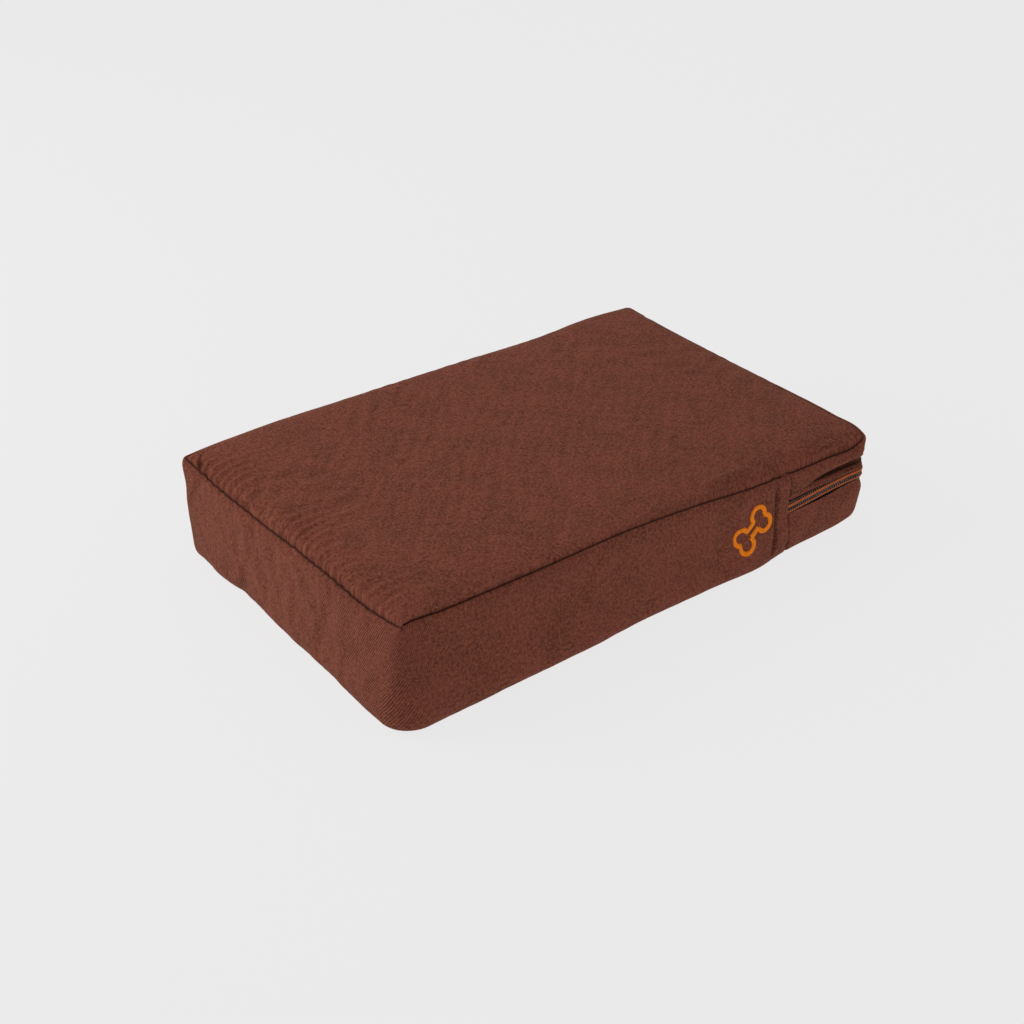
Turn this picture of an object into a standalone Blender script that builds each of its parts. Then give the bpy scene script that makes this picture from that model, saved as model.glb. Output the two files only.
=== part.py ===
"""Pet cushion bed: a foam box cushion in a removable, zipped cotton cover.

The cushion lies flat on Z = 0 with its middle over the origin. X runs along its length, Y across
its width from the front (-Y) to the back (+Y), and Z up. The cover is cut as a real one is: a top
panel, a bottom panel, and a boxing strip that runs round the side and is closed by a zipped panel
on the front's right end, the right corner and the right side.

Places on the side wall are given as a distance travelled along it, counter-clockwise seen from
above, from the left end of the straight front. Depths are given outward from the wall's face.
"""

import math

import bmesh
import bpy

# Driving dimensions, in metres.
LENGTH = 0.400
WIDTH = 0.254
SEAM_HEIGHT = 0.072
CROWN = 0.004
CORNER_RADIUS = 0.015
FABRIC = 0.0012
CLEARANCE = 0.0003
SEAM_ALLOWANCE = 0.010

# The zip: a coil zip with a flat pull.
CHAIN_FRONT_HEIGHT = 0.034
CHAIN_SIDE_HEIGHT = 0.040
CHAIN_HALF_WIDTH = 0.0042
COIL_HALF_GAP = 0.0006
COIL_DEPTH = 0.0021
TAPE_REACH = 0.0140
TAPE_HALF_GAP = 0.0008
TAPE_THICKNESS = 0.0006
BAND_OPENING = 0.0060
THREAD = 0.0004
THREAD_LINE = 0.0023
TOPSTITCH_INSET = 0.0030

# Where the zipped panel begins on the front and ends on the right side.
ZIP_FRONT_X = 0.112
ZIP_BACK_Y = 0.106
FOLD_WIDTH = 0.0124
FOLD_RAMP = 0.0040
STOP_LENGTH = 0.0045

# The slider, at its closed end, and its pull.
SLIDER_Y = 0.0845
SLIDER_LENGTH = 0.0140
SLIDER_HALF_WIDTH = 0.0055
SLIDER_NOSE_HALF_WIDTH = 0.0042
PLATE = 0.0011
CROWN_LENGTH = 0.0100
CROWN_WIDTH = 0.0032
CROWN_RISE = 0.0036
CROWN_WALL = 0.0009
PULL_LENGTH = 0.0240
PULL_WIDTH = 0.0066
PULL_THICKNESS = 0.0012

# The filling.
FILLING_GAP = 0.0060
WADDING = 0.0060

# The sewn motif and the care label.
MOTIF_X = 0.089
MOTIF_HEIGHT = 0.034
MOTIF_LENGTH = 0.036
MOTIF_LOBE = 0.0062
MOTIF_SHAFT = 0.0050
MOTIF_TILT = math.radians(35)
MOTIF_STROKE = 0.0028
MOTIF_THICKNESS = 0.0006
LABEL_X = -0.120
LABEL_WIDTH = 0.030
LABEL_HEIGHT = 0.040
LABEL_THICKNESS = 0.0003

ARC_STEPS = 8
RING_STEPS = 5

HALF_X = LENGTH / 2
HALF_Y = WIDTH / 2
STRAIGHT_X = LENGTH - 2 * CORNER_RADIUS
STRAIGHT_Y = WIDTH - 2 * CORNER_RADIUS
ARC = CORNER_RADIUS * math.pi / 2
PERIMETER = 2 * (STRAIGHT_X + STRAIGHT_Y) + 4 * ARC

# Depths of the layers at the zip, outward from the wall's face.
COIL_FACE = -FABRIC
TAPE_FACE = COIL_FACE - COIL_DEPTH - CLEARANCE
TAPE_BACK = TAPE_FACE - TAPE_THICKNESS
COIL_THREAD_FACE = COIL_FACE + CLEARANCE + THREAD
TOP_PLATE_BACK = COIL_THREAD_FACE + CLEARANCE
TOP_PLATE_FACE = TOP_PLATE_BACK + PLATE
BACK_PLATE_FACE = TAPE_BACK - CLEARANCE
FOLD_FACE = FABRIC + CLEARANCE


# Places along the side wall.


def front_at(x):
    """Distance along the wall to a place on the straight front."""
    return x + STRAIGHT_X / 2


def right_at(y):
    """Distance along the wall to a place on the straight right side."""
    return STRAIGHT_X + ARC + y + STRAIGHT_Y / 2


def back_at(x):
    """Distance along the wall to a place on the straight back."""
    return STRAIGHT_X + 2 * ARC + STRAIGHT_Y + STRAIGHT_X / 2 - x


RIGHT_CORNER_START = STRAIGHT_X
ZIP_START = front_at(ZIP_FRONT_X)
ZIP_END = right_at(ZIP_BACK_Y)
TOP_STOP_START = right_at(SLIDER_Y + SLIDER_LENGTH / 2 + CLEARANCE)


def wall_legs():
    """The straights and corners in order: start distance, length, start point, start heading, turn."""
    legs = []
    distance = 0.0
    x, y, heading = -STRAIGHT_X / 2, -HALF_Y, 0.0
    for straight in (STRAIGHT_X, STRAIGHT_Y, STRAIGHT_X, STRAIGHT_Y):
        legs.append((distance, straight, (x, y), heading, 0.0))
        distance += straight
        x += straight * math.cos(heading)
        y += straight * math.sin(heading)
        legs.append((distance, ARC, (x, y), heading, math.pi / 2))
        distance += ARC
        centre_x = x - CORNER_RADIUS * math.sin(heading)
        centre_y = y + CORNER_RADIUS * math.cos(heading)
        heading += math.pi / 2
        x = centre_x + CORNER_RADIUS * math.sin(heading)
        y = centre_y - CORNER_RADIUS * math.cos(heading)
    return legs


LEGS = wall_legs()


def wall_point(distance, depth):
    """The plan position of a place on the wall, moved outward by depth."""
    distance %= PERIMETER
    start, length, (x, y), heading, turn = [leg for leg in LEGS if leg[0] <= distance][-1]
    along = distance - start
    if turn:
        centre_x = x - CORNER_RADIUS * math.sin(heading)
        centre_y = y + CORNER_RADIUS * math.cos(heading)
        heading += turn * along / length
        reach = CORNER_RADIUS + depth
        return centre_x + reach * math.sin(heading), centre_y - reach * math.cos(heading)
    x += along * math.cos(heading) + depth * math.sin(heading)
    y += along * math.sin(heading) - depth * math.cos(heading)
    return x, y


def wall_stops(start, end, extra=()):
    """The distances from start to end at which a piece needs a corner of its own."""
    stops = {start, end}
    stops.update(place for place in extra if start < place < end)
    for lap in (0.0, PERIMETER):
        for leg_start, length, _, _, turn in LEGS:
            steps = ARC_STEPS if turn else 1
            for step in range(steps):
                place = lap + leg_start + length * step / steps
                if start < place < end:
                    stops.add(place)
    return sorted(stops)


def chain_height(distance):
    """The height of the zip's middle: it climbs along the front and is level on the right side."""
    if distance >= RIGHT_CORNER_START:
        return CHAIN_SIDE_HEIGHT
    share = (distance - ZIP_START) / (RIGHT_CORNER_START - ZIP_START)
    return CHAIN_FRONT_HEIGHT + share * (CHAIN_SIDE_HEIGHT - CHAIN_FRONT_HEIGHT)


# Making objects.


def material(name, colour, roughness, metallic=0.0):
    made = bpy.data.materials.get(name) or bpy.data.materials.new(name)
    made.use_nodes = True
    shader = made.node_tree.nodes["Principled BSDF"]
    shader.inputs["Base Color"].default_value = (*colour, 1.0)
    shader.inputs["Roughness"].default_value = roughness
    shader.inputs["Metallic"].default_value = metallic
    return made


def cover_fabric(name):
    return material(name, (0.105, 0.058, 0.040), 0.95)


def zip_fabric(name):
    return material(name, (0.060, 0.040, 0.032), 0.85)


def orange_thread(name):
    return material(name, (0.62, 0.20, 0.05), 0.55)


def slider_metal(name):
    return material(name, (0.10, 0.075, 0.055), 0.38, 0.9)


def add_object(name, mesh_data, look):
    """Makes an object of a bmesh, with its faces turned outward and its round faces smooth."""
    bmesh.ops.recalc_face_normals(mesh_data, faces=mesh_data.faces)
    mesh = bpy.data.meshes.new(name)
    mesh_data.to_mesh(mesh)
    mesh_data.free()
    mesh.materials.append(look)
    mesh.shade_smooth()
    mesh.set_sharp_from_angle(angle=math.radians(35))
    made = bpy.data.objects.new(name, mesh)
    bpy.context.scene.collection.objects.link(made)
    return made


def bridge_rings(mesh_data, rings, ends):
    """Joins rings of vertices in order; ends says whether they close on themselves or are capped."""
    count = len(rings[0])
    pairs = list(zip(rings, rings[1:]))
    if ends == "joined":
        pairs.append((rings[-1], rings[0]))
    for ring, following in pairs:
        for index in range(count):
            nxt = (index + 1) % count
            mesh_data.faces.new((ring[index], ring[nxt], following[nxt], following[index]))
    if ends == "capped":
        mesh_data.faces.new(rings[0])
        mesh_data.faces.new(reversed(rings[-1]))


def ribbon(name, look, start, end, low, high, face, thickness, extra=()):
    """A strip standing along the wall from start to end.

    low, high and face are functions of the distance: the two edges' heights and the depth of the
    strip's outer face. A strip that goes the whole way round is joined to itself.
    """
    mesh_data = bmesh.new()
    stops = wall_stops(start, end, extra)
    whole = end - start >= PERIMETER
    rings = []
    for place in stops[:-1] if whole else stops:
        corners = (
            (face(place), low(place)),
            (face(place), high(place)),
            (face(place) - thickness, high(place)),
            (face(place) - thickness, low(place)),
        )
        rings.append([mesh_data.verts.new((*wall_point(place, depth), z)) for depth, z in corners])
    bridge_rings(mesh_data, rings, "joined" if whole else "capped")
    return add_object(name, mesh_data, look)


def panel(name, look, profile):
    """A closed shape whose every level is the wall's outline: profile lists scale, depth and height."""
    mesh_data = bmesh.new()
    stops = wall_stops(0.0, PERIMETER)[:-1]
    first, *rims, last = profile
    rings = []
    for scale, depth, z in rims:
        plan = [wall_point(place, depth) for place in stops]
        rings.append([mesh_data.verts.new((scale * x, scale * y, z)) for x, y in plan])
    bridge_rings(mesh_data, rings, "open")
    for z, ring in ((first[2], rings[0]), (last[2], rings[-1])):
        middle = mesh_data.verts.new((0.0, 0.0, z))
        for index, vertex in enumerate(ring):
            mesh_data.faces.new((middle, vertex, ring[(index + 1) % len(ring)]))
    return add_object(name, mesh_data, look)


def extruded(name, look, outline, low, high, place):
    """A flat outline given thickness from low to high, each corner set by place(u, v, w)."""
    mesh_data = bmesh.new()
    rings = [[mesh_data.verts.new(place(u, v, w)) for u, v in outline] for w in (low, high)]
    bridge_rings(mesh_data, rings, "capped")
    return add_object(name, mesh_data, look)


def constant(value):
    return lambda distance: value


def beside_chain(offset):
    """A height at a fixed distance above (or, if negative, below) the zip's middle."""
    return lambda distance: chain_height(distance) + offset


# The cover.


def crown_height(share):
    """Rise of the top above its seam, from 1 at the rim to 0 in the middle."""
    return CROWN * (1 - share**4)


def cover_top_panel():
    """The top panel, gently crowned, with its seam allowance turned down behind the boxing."""
    shares = [step / RING_STEPS for step in range(1, RING_STEPS + 1)]
    profile = [(0.0, 0.0, SEAM_HEIGHT + CROWN)]
    profile += [(share, 0.0, SEAM_HEIGHT + crown_height(share)) for share in shares]
    profile += allowance_profile(SEAM_HEIGHT, -1)
    inner_depth = -(2 * FABRIC + CLEARANCE)
    profile += [
        (share, inner_depth, SEAM_HEIGHT - FABRIC + crown_height(share)) for share in shares[-2::-1]
    ]
    profile.append((0.0, 0.0, SEAM_HEIGHT - FABRIC + CROWN))
    return panel("cover_top_panel", cover_fabric("top_cloth"), profile)


def cover_bottom_panel():
    """The bottom panel, flat on the floor, with its seam allowance turned up behind the boxing."""
    profile = [(0.0, 0.0, 0.0), (1.0, 0.0, 0.0)]
    profile += allowance_profile(0.0, 1)
    profile.append((0.0, 0.0, FABRIC))
    return panel("cover_bottom_panel", cover_fabric("bottom_cloth"), profile)


def allowance_profile(level, inward):
    """The rim of a panel at this level, and the allowance behind the wall; inward is -1 or 1 in Z."""
    outer = -(FABRIC + CLEARANCE)
    inner = outer - FABRIC
    return [
        (1.0, 0.0, level + inward * FABRIC),
        (1.0, outer, level + inward * FABRIC),
        (1.0, outer, level + inward * SEAM_ALLOWANCE),
        (1.0, inner, level + inward * SEAM_ALLOWANCE),
        (1.0, inner, level + inward * FABRIC),
    ]


WALL_LOW = FABRIC + CLEARANCE
WALL_HIGH = SEAM_HEIGHT - FABRIC - CLEARANCE
FOLD_FRONT_END = ZIP_START + FOLD_WIDTH
FOLD_BACK_END = ZIP_END - FOLD_WIDTH


def boxing_strip():
    """The plain part of the side wall; each end is a fold that stands over the zipped panel's end."""
    start, end = FOLD_BACK_END, FOLD_FRONT_END + PERIMETER
    flat_from = ZIP_END + CLEARANCE + FOLD_RAMP
    flat_to = ZIP_START + PERIMETER - CLEARANCE - FOLD_RAMP

    def face(place):
        if place <= flat_from - FOLD_RAMP or place >= flat_to + FOLD_RAMP:
            return FOLD_FACE
        if flat_from <= place <= flat_to:
            return 0.0
        gap = flat_from - place if place < flat_from else place - flat_to
        return FOLD_FACE * gap / FOLD_RAMP

    bends = (flat_from - FOLD_RAMP, flat_from, flat_to, flat_to + FOLD_RAMP)
    return ribbon(
        "boxing_strip", cover_fabric("boxing_cloth"), start, end,
        constant(WALL_LOW), constant(WALL_HIGH), face, FABRIC, bends,
    )


def zip_bands():
    """The two cloth bands of the zipped panel, above and below the chain."""
    ribbon(
        "zip_band_upper", cover_fabric("band_upper_cloth"), ZIP_START, ZIP_END,
        beside_chain(BAND_OPENING), constant(WALL_HIGH), constant(0.0), FABRIC,
    )
    ribbon(
        "zip_band_lower", cover_fabric("band_lower_cloth"), ZIP_START, ZIP_END,
        constant(WALL_LOW), beside_chain(-BAND_OPENING), constant(0.0), FABRIC,
    )


def topstitching():
    """The line of sewing that holds the upper band to its tape, lying on the band."""
    line = BAND_OPENING + TOPSTITCH_INSET
    ribbon(
        "zip_topstitch", orange_thread("topstitch_thread"), FOLD_FRONT_END + CLEARANCE,
        FOLD_BACK_END - CLEARANCE, beside_chain(line), beside_chain(line + THREAD),
        constant(CLEARANCE + THREAD), THREAD,
    )


def seam_threads():
    """The lockstitch of the top and the bottom seam, on the inner side of each allowance."""
    face = -(2 * FABRIC + 2 * CLEARANCE)
    levels = {
        "seam_thread_top": SEAM_HEIGHT - SEAM_ALLOWANCE / 3,
        "seam_thread_bottom": SEAM_ALLOWANCE / 3,
    }
    for name, level in levels.items():
        ribbon(
            name, cover_fabric("seam_thread"), 0.0, PERIMETER,
            constant(level), constant(level + THREAD), constant(face), THREAD,
        )


# The zip.


def zip_tapes():
    for name, side in (("zip_tape_upper", 1), ("zip_tape_lower", -1)):
        edges = sorted((side * TAPE_HALF_GAP, side * TAPE_REACH))
        ribbon(
            name, zip_fabric("tape"), ZIP_START, ZIP_END,
            beside_chain(edges[0]), beside_chain(edges[1]), constant(TAPE_FACE), TAPE_THICKNESS,
        )


def zip_coils():
    """The two coils, as plain rails from the bottom stop to the top stops, and their sewing lines."""
    start = ZIP_START + STOP_LENGTH + 2 * CLEARANCE
    end = TOP_STOP_START - CLEARANCE
    for name, side in (("upper", 1), ("lower", -1)):
        edges = sorted((side * COIL_HALF_GAP, side * CHAIN_HALF_WIDTH))
        ribbon(
            f"zip_coil_{name}", zip_fabric("coil"), start, end,
            beside_chain(edges[0]), beside_chain(edges[1]), constant(COIL_FACE), COIL_DEPTH,
        )
        middle = side * THREAD_LINE
        ribbon(
            f"zip_coil_thread_{name}", orange_thread("coil_thread"), start, end,
            beside_chain(middle - THREAD), beside_chain(middle + THREAD),
            constant(COIL_THREAD_FACE), THREAD,
        )


def zip_stops():
    """The bottom stop clamps both coils under the front fold; each tape has its own top stop."""
    ribbon(
        "zip_bottom_stop", slider_metal("stop_metal"), ZIP_START + CLEARANCE,
        ZIP_START + CLEARANCE + STOP_LENGTH, beside_chain(-CHAIN_HALF_WIDTH),
        beside_chain(CHAIN_HALF_WIDTH), constant(COIL_FACE), COIL_DEPTH,
    )
    for name, side in (("zip_top_stop_upper", 1), ("zip_top_stop_lower", -1)):
        edges = sorted((side * COIL_HALF_GAP, side * CHAIN_HALF_WIDTH))
        ribbon(
            name, slider_metal("stop_metal"), TOP_STOP_START, TOP_STOP_START + STOP_LENGTH,
            beside_chain(edges[0]), beside_chain(edges[1]), constant(COIL_FACE), COIL_DEPTH,
        )


def slider_frame(along, up, depth):
    """World place from the slider's own frame: forward to its nose, up, and out from the wall."""
    return (HALF_X + depth, SLIDER_Y + along, CHAIN_SIDE_HEIGHT + up)


def slider_plate_outline():
    """A shield: broad shoulders towards the open tapes and a narrower tail over the closed chain."""
    half = SLIDER_LENGTH / 2
    shoulder = SLIDER_LENGTH / 8
    return [
        (-half, -SLIDER_NOSE_HALF_WIDTH), (-half, SLIDER_NOSE_HALF_WIDTH),
        (shoulder, SLIDER_HALF_WIDTH), (half - shoulder, SLIDER_HALF_WIDTH),
        (half, SLIDER_HALF_WIDTH - shoulder), (half, -SLIDER_HALF_WIDTH + shoulder),
        (half - shoulder, -SLIDER_HALF_WIDTH), (shoulder, -SLIDER_HALF_WIDTH),
    ]


def box_outline(along_low, along_high, up_half):
    return [
        (along_low, -up_half), (along_low, up_half), (along_high, up_half), (along_high, -up_half)
    ]


def join(target, other):
    """Boolean-unions other into target and leaves it as a hidden helper."""
    other.hide_render = True
    other.display_type = "WIRE"
    union = target.modifiers.new("join " + other.name, "BOOLEAN")
    union.operation = "UNION"
    union.object = other


def zip_slider_body():
    """The front and back plates, joined by the divider that passes between the two coils."""
    metal = slider_metal("slider_metal")
    half = SLIDER_LENGTH / 2
    body = extruded(
        "zip_slider_body", metal, slider_plate_outline(), TOP_PLATE_BACK, TOP_PLATE_FACE,
        slider_frame,
    )
    back = extruded(
        "slider_back_plate_form", metal, slider_plate_outline(), BACK_PLATE_FACE - PLATE,
        BACK_PLATE_FACE, slider_frame,
    )
    divider = extruded(
        "slider_divider_form", metal, box_outline(half - 0.0045, half - 0.0005, 0.00028),
        BACK_PLATE_FACE - PLATE / 2, TOP_PLATE_BACK + PLATE / 2, slider_frame,
    )
    join(body, back)
    join(body, divider)
    return body


def crown_outline(rise, half_length):
    """The side view of the crown: an arch of flat top and quarter-round shoulders."""
    round_radius = min(rise, half_length) * 0.6
    points = [(-half_length, 0.0)]
    for step in range(ARC_STEPS // 2 + 1):
        angle = math.pi - step * math.pi / ARC_STEPS
        points.append((
            -half_length + round_radius + round_radius * math.cos(angle),
            rise - round_radius + round_radius * math.sin(angle),
        ))
    return points + [(-along, up) for along, up in reversed(points)]


def zip_slider_crown():
    """The arched loop over the slider that holds the pull."""
    half = CROWN_LENGTH / 2
    outer = crown_outline(CROWN_RISE, half)
    inner = crown_outline(CROWN_RISE - CROWN_WALL, half - CROWN_WALL)
    base = TOP_PLATE_FACE + CLEARANCE

    def place(along, rise, across):
        return slider_frame(along, across, base + rise)

    outline = outer + inner[::-1]
    return extruded(
        "zip_slider_crown", slider_metal("crown_metal"), outline, -CROWN_WIDTH / 2,
        CROWN_WIDTH / 2, place,
    )


def zip_lock_spring():
    """The leaf spring under the crown, whose toe locks the slider when the pull lies flat."""
    half = CROWN_LENGTH / 2 - CROWN_WALL - CLEARANCE
    leaf = 0.0003
    base = TOP_PLATE_FACE + CLEARANCE
    outline = box_outline(-half, half, CROWN_WIDTH / 4)
    return extruded(
        "zip_lock_spring", material("spring_steel", (0.55, 0.52, 0.48), 0.3, 1.0), outline,
        base, base + leaf, slider_frame,
    )


PULL_AXIS_DEPTH = TOP_PLATE_FACE + CLEARANCE + (CROWN_RISE - CROWN_WALL) * 0.55
PULL_AXIS_Y = SLIDER_Y - CROWN_LENGTH / 2 + CROWN_WALL + PULL_THICKNESS
PULL_EYE_WIDTH = CROWN_WIDTH + 0.0010
PULL_EYE_SLACK = 0.0036


def zip_pull():
    """The flat pull, lying back over the closed chain, with an eye for the crown at its hinge end."""
    hinge = bpy.data.objects.new("pull_hinge", None)
    hinge.location = (HALF_X + PULL_AXIS_DEPTH, PULL_AXIS_Y, CHAIN_SIDE_HEIGHT)
    bpy.context.scene.collection.objects.link(hinge)

    bar = PULL_THICKNESS / 2
    eye_length = CROWN_WALL + PULL_EYE_SLACK
    half = PULL_WIDTH / 2
    neck = PULL_WIDTH / 4
    tip = PULL_LENGTH - half * 0.6
    outline = [(-bar, -half + neck / 2), (-bar, half - neck / 2), (neck, half), (tip, half)]
    outline += [
        (PULL_LENGTH, half * 0.35), (PULL_LENGTH, -half * 0.35), (tip, -half), (neck, -half)
    ]

    def place(along, up, out):
        return (out, -along, up)

    look = slider_metal("pull_metal")
    pull = extruded("zip_pull", look, outline, -bar, bar, place)
    eye = extruded(
        "pull_eye_form", look, box_outline(bar, bar + eye_length, PULL_EYE_WIDTH / 2),
        -PULL_THICKNESS, PULL_THICKNESS, place,
    )
    grip = extruded(
        "pull_grip_form", look,
        box_outline(PULL_LENGTH * 0.62, PULL_LENGTH * 0.84, PULL_WIDTH * 0.24),
        -PULL_THICKNESS, PULL_THICKNESS, place,
    )
    for form in (pull, eye, grip):
        form.parent = hinge
    for form in (eye, grip):
        form.hide_render = True
        form.display_type = "WIRE"
        cut = pull.modifiers.new("cut " + form.name, "BOOLEAN")
        cut.operation = "DIFFERENCE"
        cut.object = form
    return pull


# The filling.


def foam_core():
    """The firm foam block that gives the cushion its shape."""
    low = FILLING_GAP / 2 + WADDING + CLEARANCE
    high = SEAM_HEIGHT - low
    inset = -(FILLING_GAP + WADDING + CLEARANCE)
    profile = [(0.0, 0.0, low), (1.0, inset, low), (1.0, inset, high), (0.0, 0.0, high)]
    return panel("foam_core", material("foam", (0.82, 0.78, 0.62), 0.9), profile)


def wadding_wrap():
    """The layer of wadding wrapped round the foam over the top, front, bottom and back."""
    outer_y = HALF_Y - FILLING_GAP
    outer_low = FILLING_GAP / 2
    outer_high = SEAM_HEIGHT - FILLING_GAP / 2
    corner = CORNER_RADIUS / 2
    half_x = HALF_X - FILLING_GAP - WADDING - CLEARANCE

    def loop(half, low, high, radius):
        points = []
        centres = (
            (half - radius, low + radius, -math.pi / 2),
            (half - radius, high - radius, 0.0),
            (radius - half, high - radius, math.pi / 2),
            (radius - half, low + radius, math.pi),
        )
        for y, z, first in centres:
            for step in range(ARC_STEPS // 2 + 1):
                angle = first + step * math.pi / ARC_STEPS
                points.append((y + radius * math.cos(angle), z + radius * math.sin(angle)))
        return points

    outer = loop(outer_y, outer_low, outer_high, corner)
    inner = loop(outer_y - WADDING, outer_low + WADDING, outer_high - WADDING, CLEARANCE)
    mesh_data = bmesh.new()
    rings = []
    for x, outline in ((-half_x, outer), (half_x, outer), (half_x, inner), (-half_x, inner)):
        rings.append([mesh_data.verts.new((x, y, z)) for y, z in outline])
    bridge_rings(mesh_data, rings, "joined")
    return add_object("wadding_wrap", mesh_data, material("wadding", (0.9, 0.9, 0.88), 1.0))


# Trim.


def bone_outline(grow):
    """A plain bone: two round lobes at each end of a straight shaft, grown outward by grow."""
    lobe = MOTIF_LOBE + grow
    centre_x = MOTIF_LENGTH / 2 - MOTIF_LOBE
    centre_y = MOTIF_LOBE / 2
    first = -math.asin(centre_y / lobe)
    last = math.pi - math.asin((MOTIF_SHAFT + grow - centre_y) / lobe)
    quarter = []
    for step in range(ARC_STEPS + 1):
        angle = first + (last - first) * step / ARC_STEPS
        quarter.append((centre_x + lobe * math.cos(angle), centre_y + lobe * math.sin(angle)))
    left_upper = [(-x, y) for x, y in reversed(quarter)]
    left_lower = [(-x, -y) for x, y in quarter]
    right_lower = [(x, -y) for x, y in reversed(quarter)]
    return quarter + left_upper + left_lower[1:] + right_lower[:-1]


def sewn_motif():
    """A generic bone outline in satin stitch, as one raised band on the front."""
    tilt_cos, tilt_sin = math.cos(MOTIF_TILT), math.sin(MOTIF_TILT)

    def place(u, v, out):
        x = MOTIF_X + u * tilt_cos - v * tilt_sin
        z = MOTIF_HEIGHT + u * tilt_sin + v * tilt_cos
        return (x, -HALF_Y - out, z)

    mesh_data = bmesh.new()
    outer, inner = bone_outline(0.0), bone_outline(-MOTIF_STROKE)
    low, high = CLEARANCE, CLEARANCE + MOTIF_THICKNESS
    rings = []
    for outline, out in ((outer, low), (outer, high), (inner, high), (inner, low)):
        rings.append([mesh_data.verts.new(place(u, v, out)) for u, v in outline])
    bridge_rings(mesh_data, rings, "joined")
    return add_object("sewn_motif", mesh_data, orange_thread("motif_thread"))


def care_label():
    """A blank care label, caught in the bottom seam at the back and lying up against the wall."""
    middle = back_at(LABEL_X)
    return ribbon(
        "care_label", material("label_satin", (0.86, 0.85, 0.82), 0.6),
        middle - LABEL_WIDTH / 2, middle + LABEL_WIDTH / 2,
        constant(WALL_LOW), constant(WALL_LOW + LABEL_HEIGHT),
        constant(CLEARANCE + LABEL_THICKNESS), LABEL_THICKNESS,
    )


def build():
    for old in list(bpy.data.objects):
        bpy.data.objects.remove(old)
    cover_top_panel()
    cover_bottom_panel()
    boxing_strip()
    zip_bands()
    topstitching()
    seam_threads()
    zip_tapes()
    zip_coils()
    zip_stops()
    zip_slider_body()
    zip_slider_crown()
    zip_lock_spring()
    zip_pull()
    foam_core()
    wadding_wrap()
    sewn_motif()
    care_label()


build()
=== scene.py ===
"""The looks of the pet cushion bed: its cloth cover, coil zip, sewn motif and filling.

Distances along the side wall are measured on the cushion's plan rectangle, counter-clockwise seen
from above, from the near left corner. Shapes are worked out in metres; MM turns millimetres into
metres where a small size is given.
"""

import math

import bmesh
import bpy
import numpy as np
from mathutils import Matrix, Vector, noise


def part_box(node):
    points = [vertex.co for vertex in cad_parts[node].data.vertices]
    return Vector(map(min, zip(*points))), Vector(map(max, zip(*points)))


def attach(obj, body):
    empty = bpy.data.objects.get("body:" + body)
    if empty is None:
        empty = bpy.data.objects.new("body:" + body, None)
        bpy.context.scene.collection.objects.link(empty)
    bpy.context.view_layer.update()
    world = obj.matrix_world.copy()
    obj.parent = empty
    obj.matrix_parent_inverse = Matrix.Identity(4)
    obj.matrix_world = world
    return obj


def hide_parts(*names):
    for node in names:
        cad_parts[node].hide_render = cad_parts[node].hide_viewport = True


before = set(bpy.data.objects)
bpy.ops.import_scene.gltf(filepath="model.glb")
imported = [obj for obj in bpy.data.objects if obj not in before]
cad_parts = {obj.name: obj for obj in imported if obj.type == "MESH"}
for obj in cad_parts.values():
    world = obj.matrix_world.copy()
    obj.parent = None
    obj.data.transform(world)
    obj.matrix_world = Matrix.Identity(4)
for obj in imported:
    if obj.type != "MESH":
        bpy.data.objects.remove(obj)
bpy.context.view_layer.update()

MM = 0.001

TOP_LOW, TOP_HIGH = (np.array(corner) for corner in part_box("cover_top_panel"))
LENGTH = TOP_HIGH[0] - TOP_LOW[0]
WIDTH = TOP_HIGH[1] - TOP_LOW[1]
PERIMETER = 2 * (LENGTH + WIDTH)


# The distance along the side wall of an x or a y, in millimetres, on each side.


def front(x):
    return x * MM + LENGTH / 2


def right(y):
    return LENGTH + y * MM + WIDTH / 2


def back(x):
    return LENGTH + WIDTH + LENGTH / 2 - x * MM


def left(y):
    return 2 * LENGTH + WIDTH + WIDTH / 2 - y * MM


ZIP_START = front(112)
ZIP_END = right(106)
FOLD_END = front(124.4)
BACK_FOLD_END = right(93.6)


def smooth(value, low, high):
    """0 below low, 1 above high, and an even S between them."""
    share = np.clip((value - low) / (high - low), 0, 1)
    return share * share * (3 - 2 * share)


def round_wall(**sides):
    """A smooth periodic function of the distance along the wall.

    Each side gives its (place, value) pairs in millimetres.
    """
    ways = {"front": front, "right": right, "back": back, "left": left}
    points = sorted((ways[side](place), value) for side in sides for place, value in sides[side])
    places = np.array([place for place, _ in points])
    values = np.array([value for _, value in points]) * MM
    places = np.concatenate([places[-2:] - PERIMETER, places, places[:2] + PERIMETER])
    values = np.concatenate([values[-2:], values, values[:2]])
    slopes = np.gradient(values, places)

    def at(distance):
        distance = np.mod(distance, PERIMETER)
        index = np.clip(np.searchsorted(places, distance, side="right") - 1, 0, len(places) - 2)
        span = places[index + 1] - places[index]
        share = (distance - places[index]) / span
        rise = values[index + 1] - values[index]
        ease = share * share * (3 - 2 * share)
        start = share * (1 - share) ** 2 * slopes[index] * span
        end = share**2 * (share - 1) * slopes[index + 1] * span
        return values[index] + rise * ease + start + end

    return at


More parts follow.
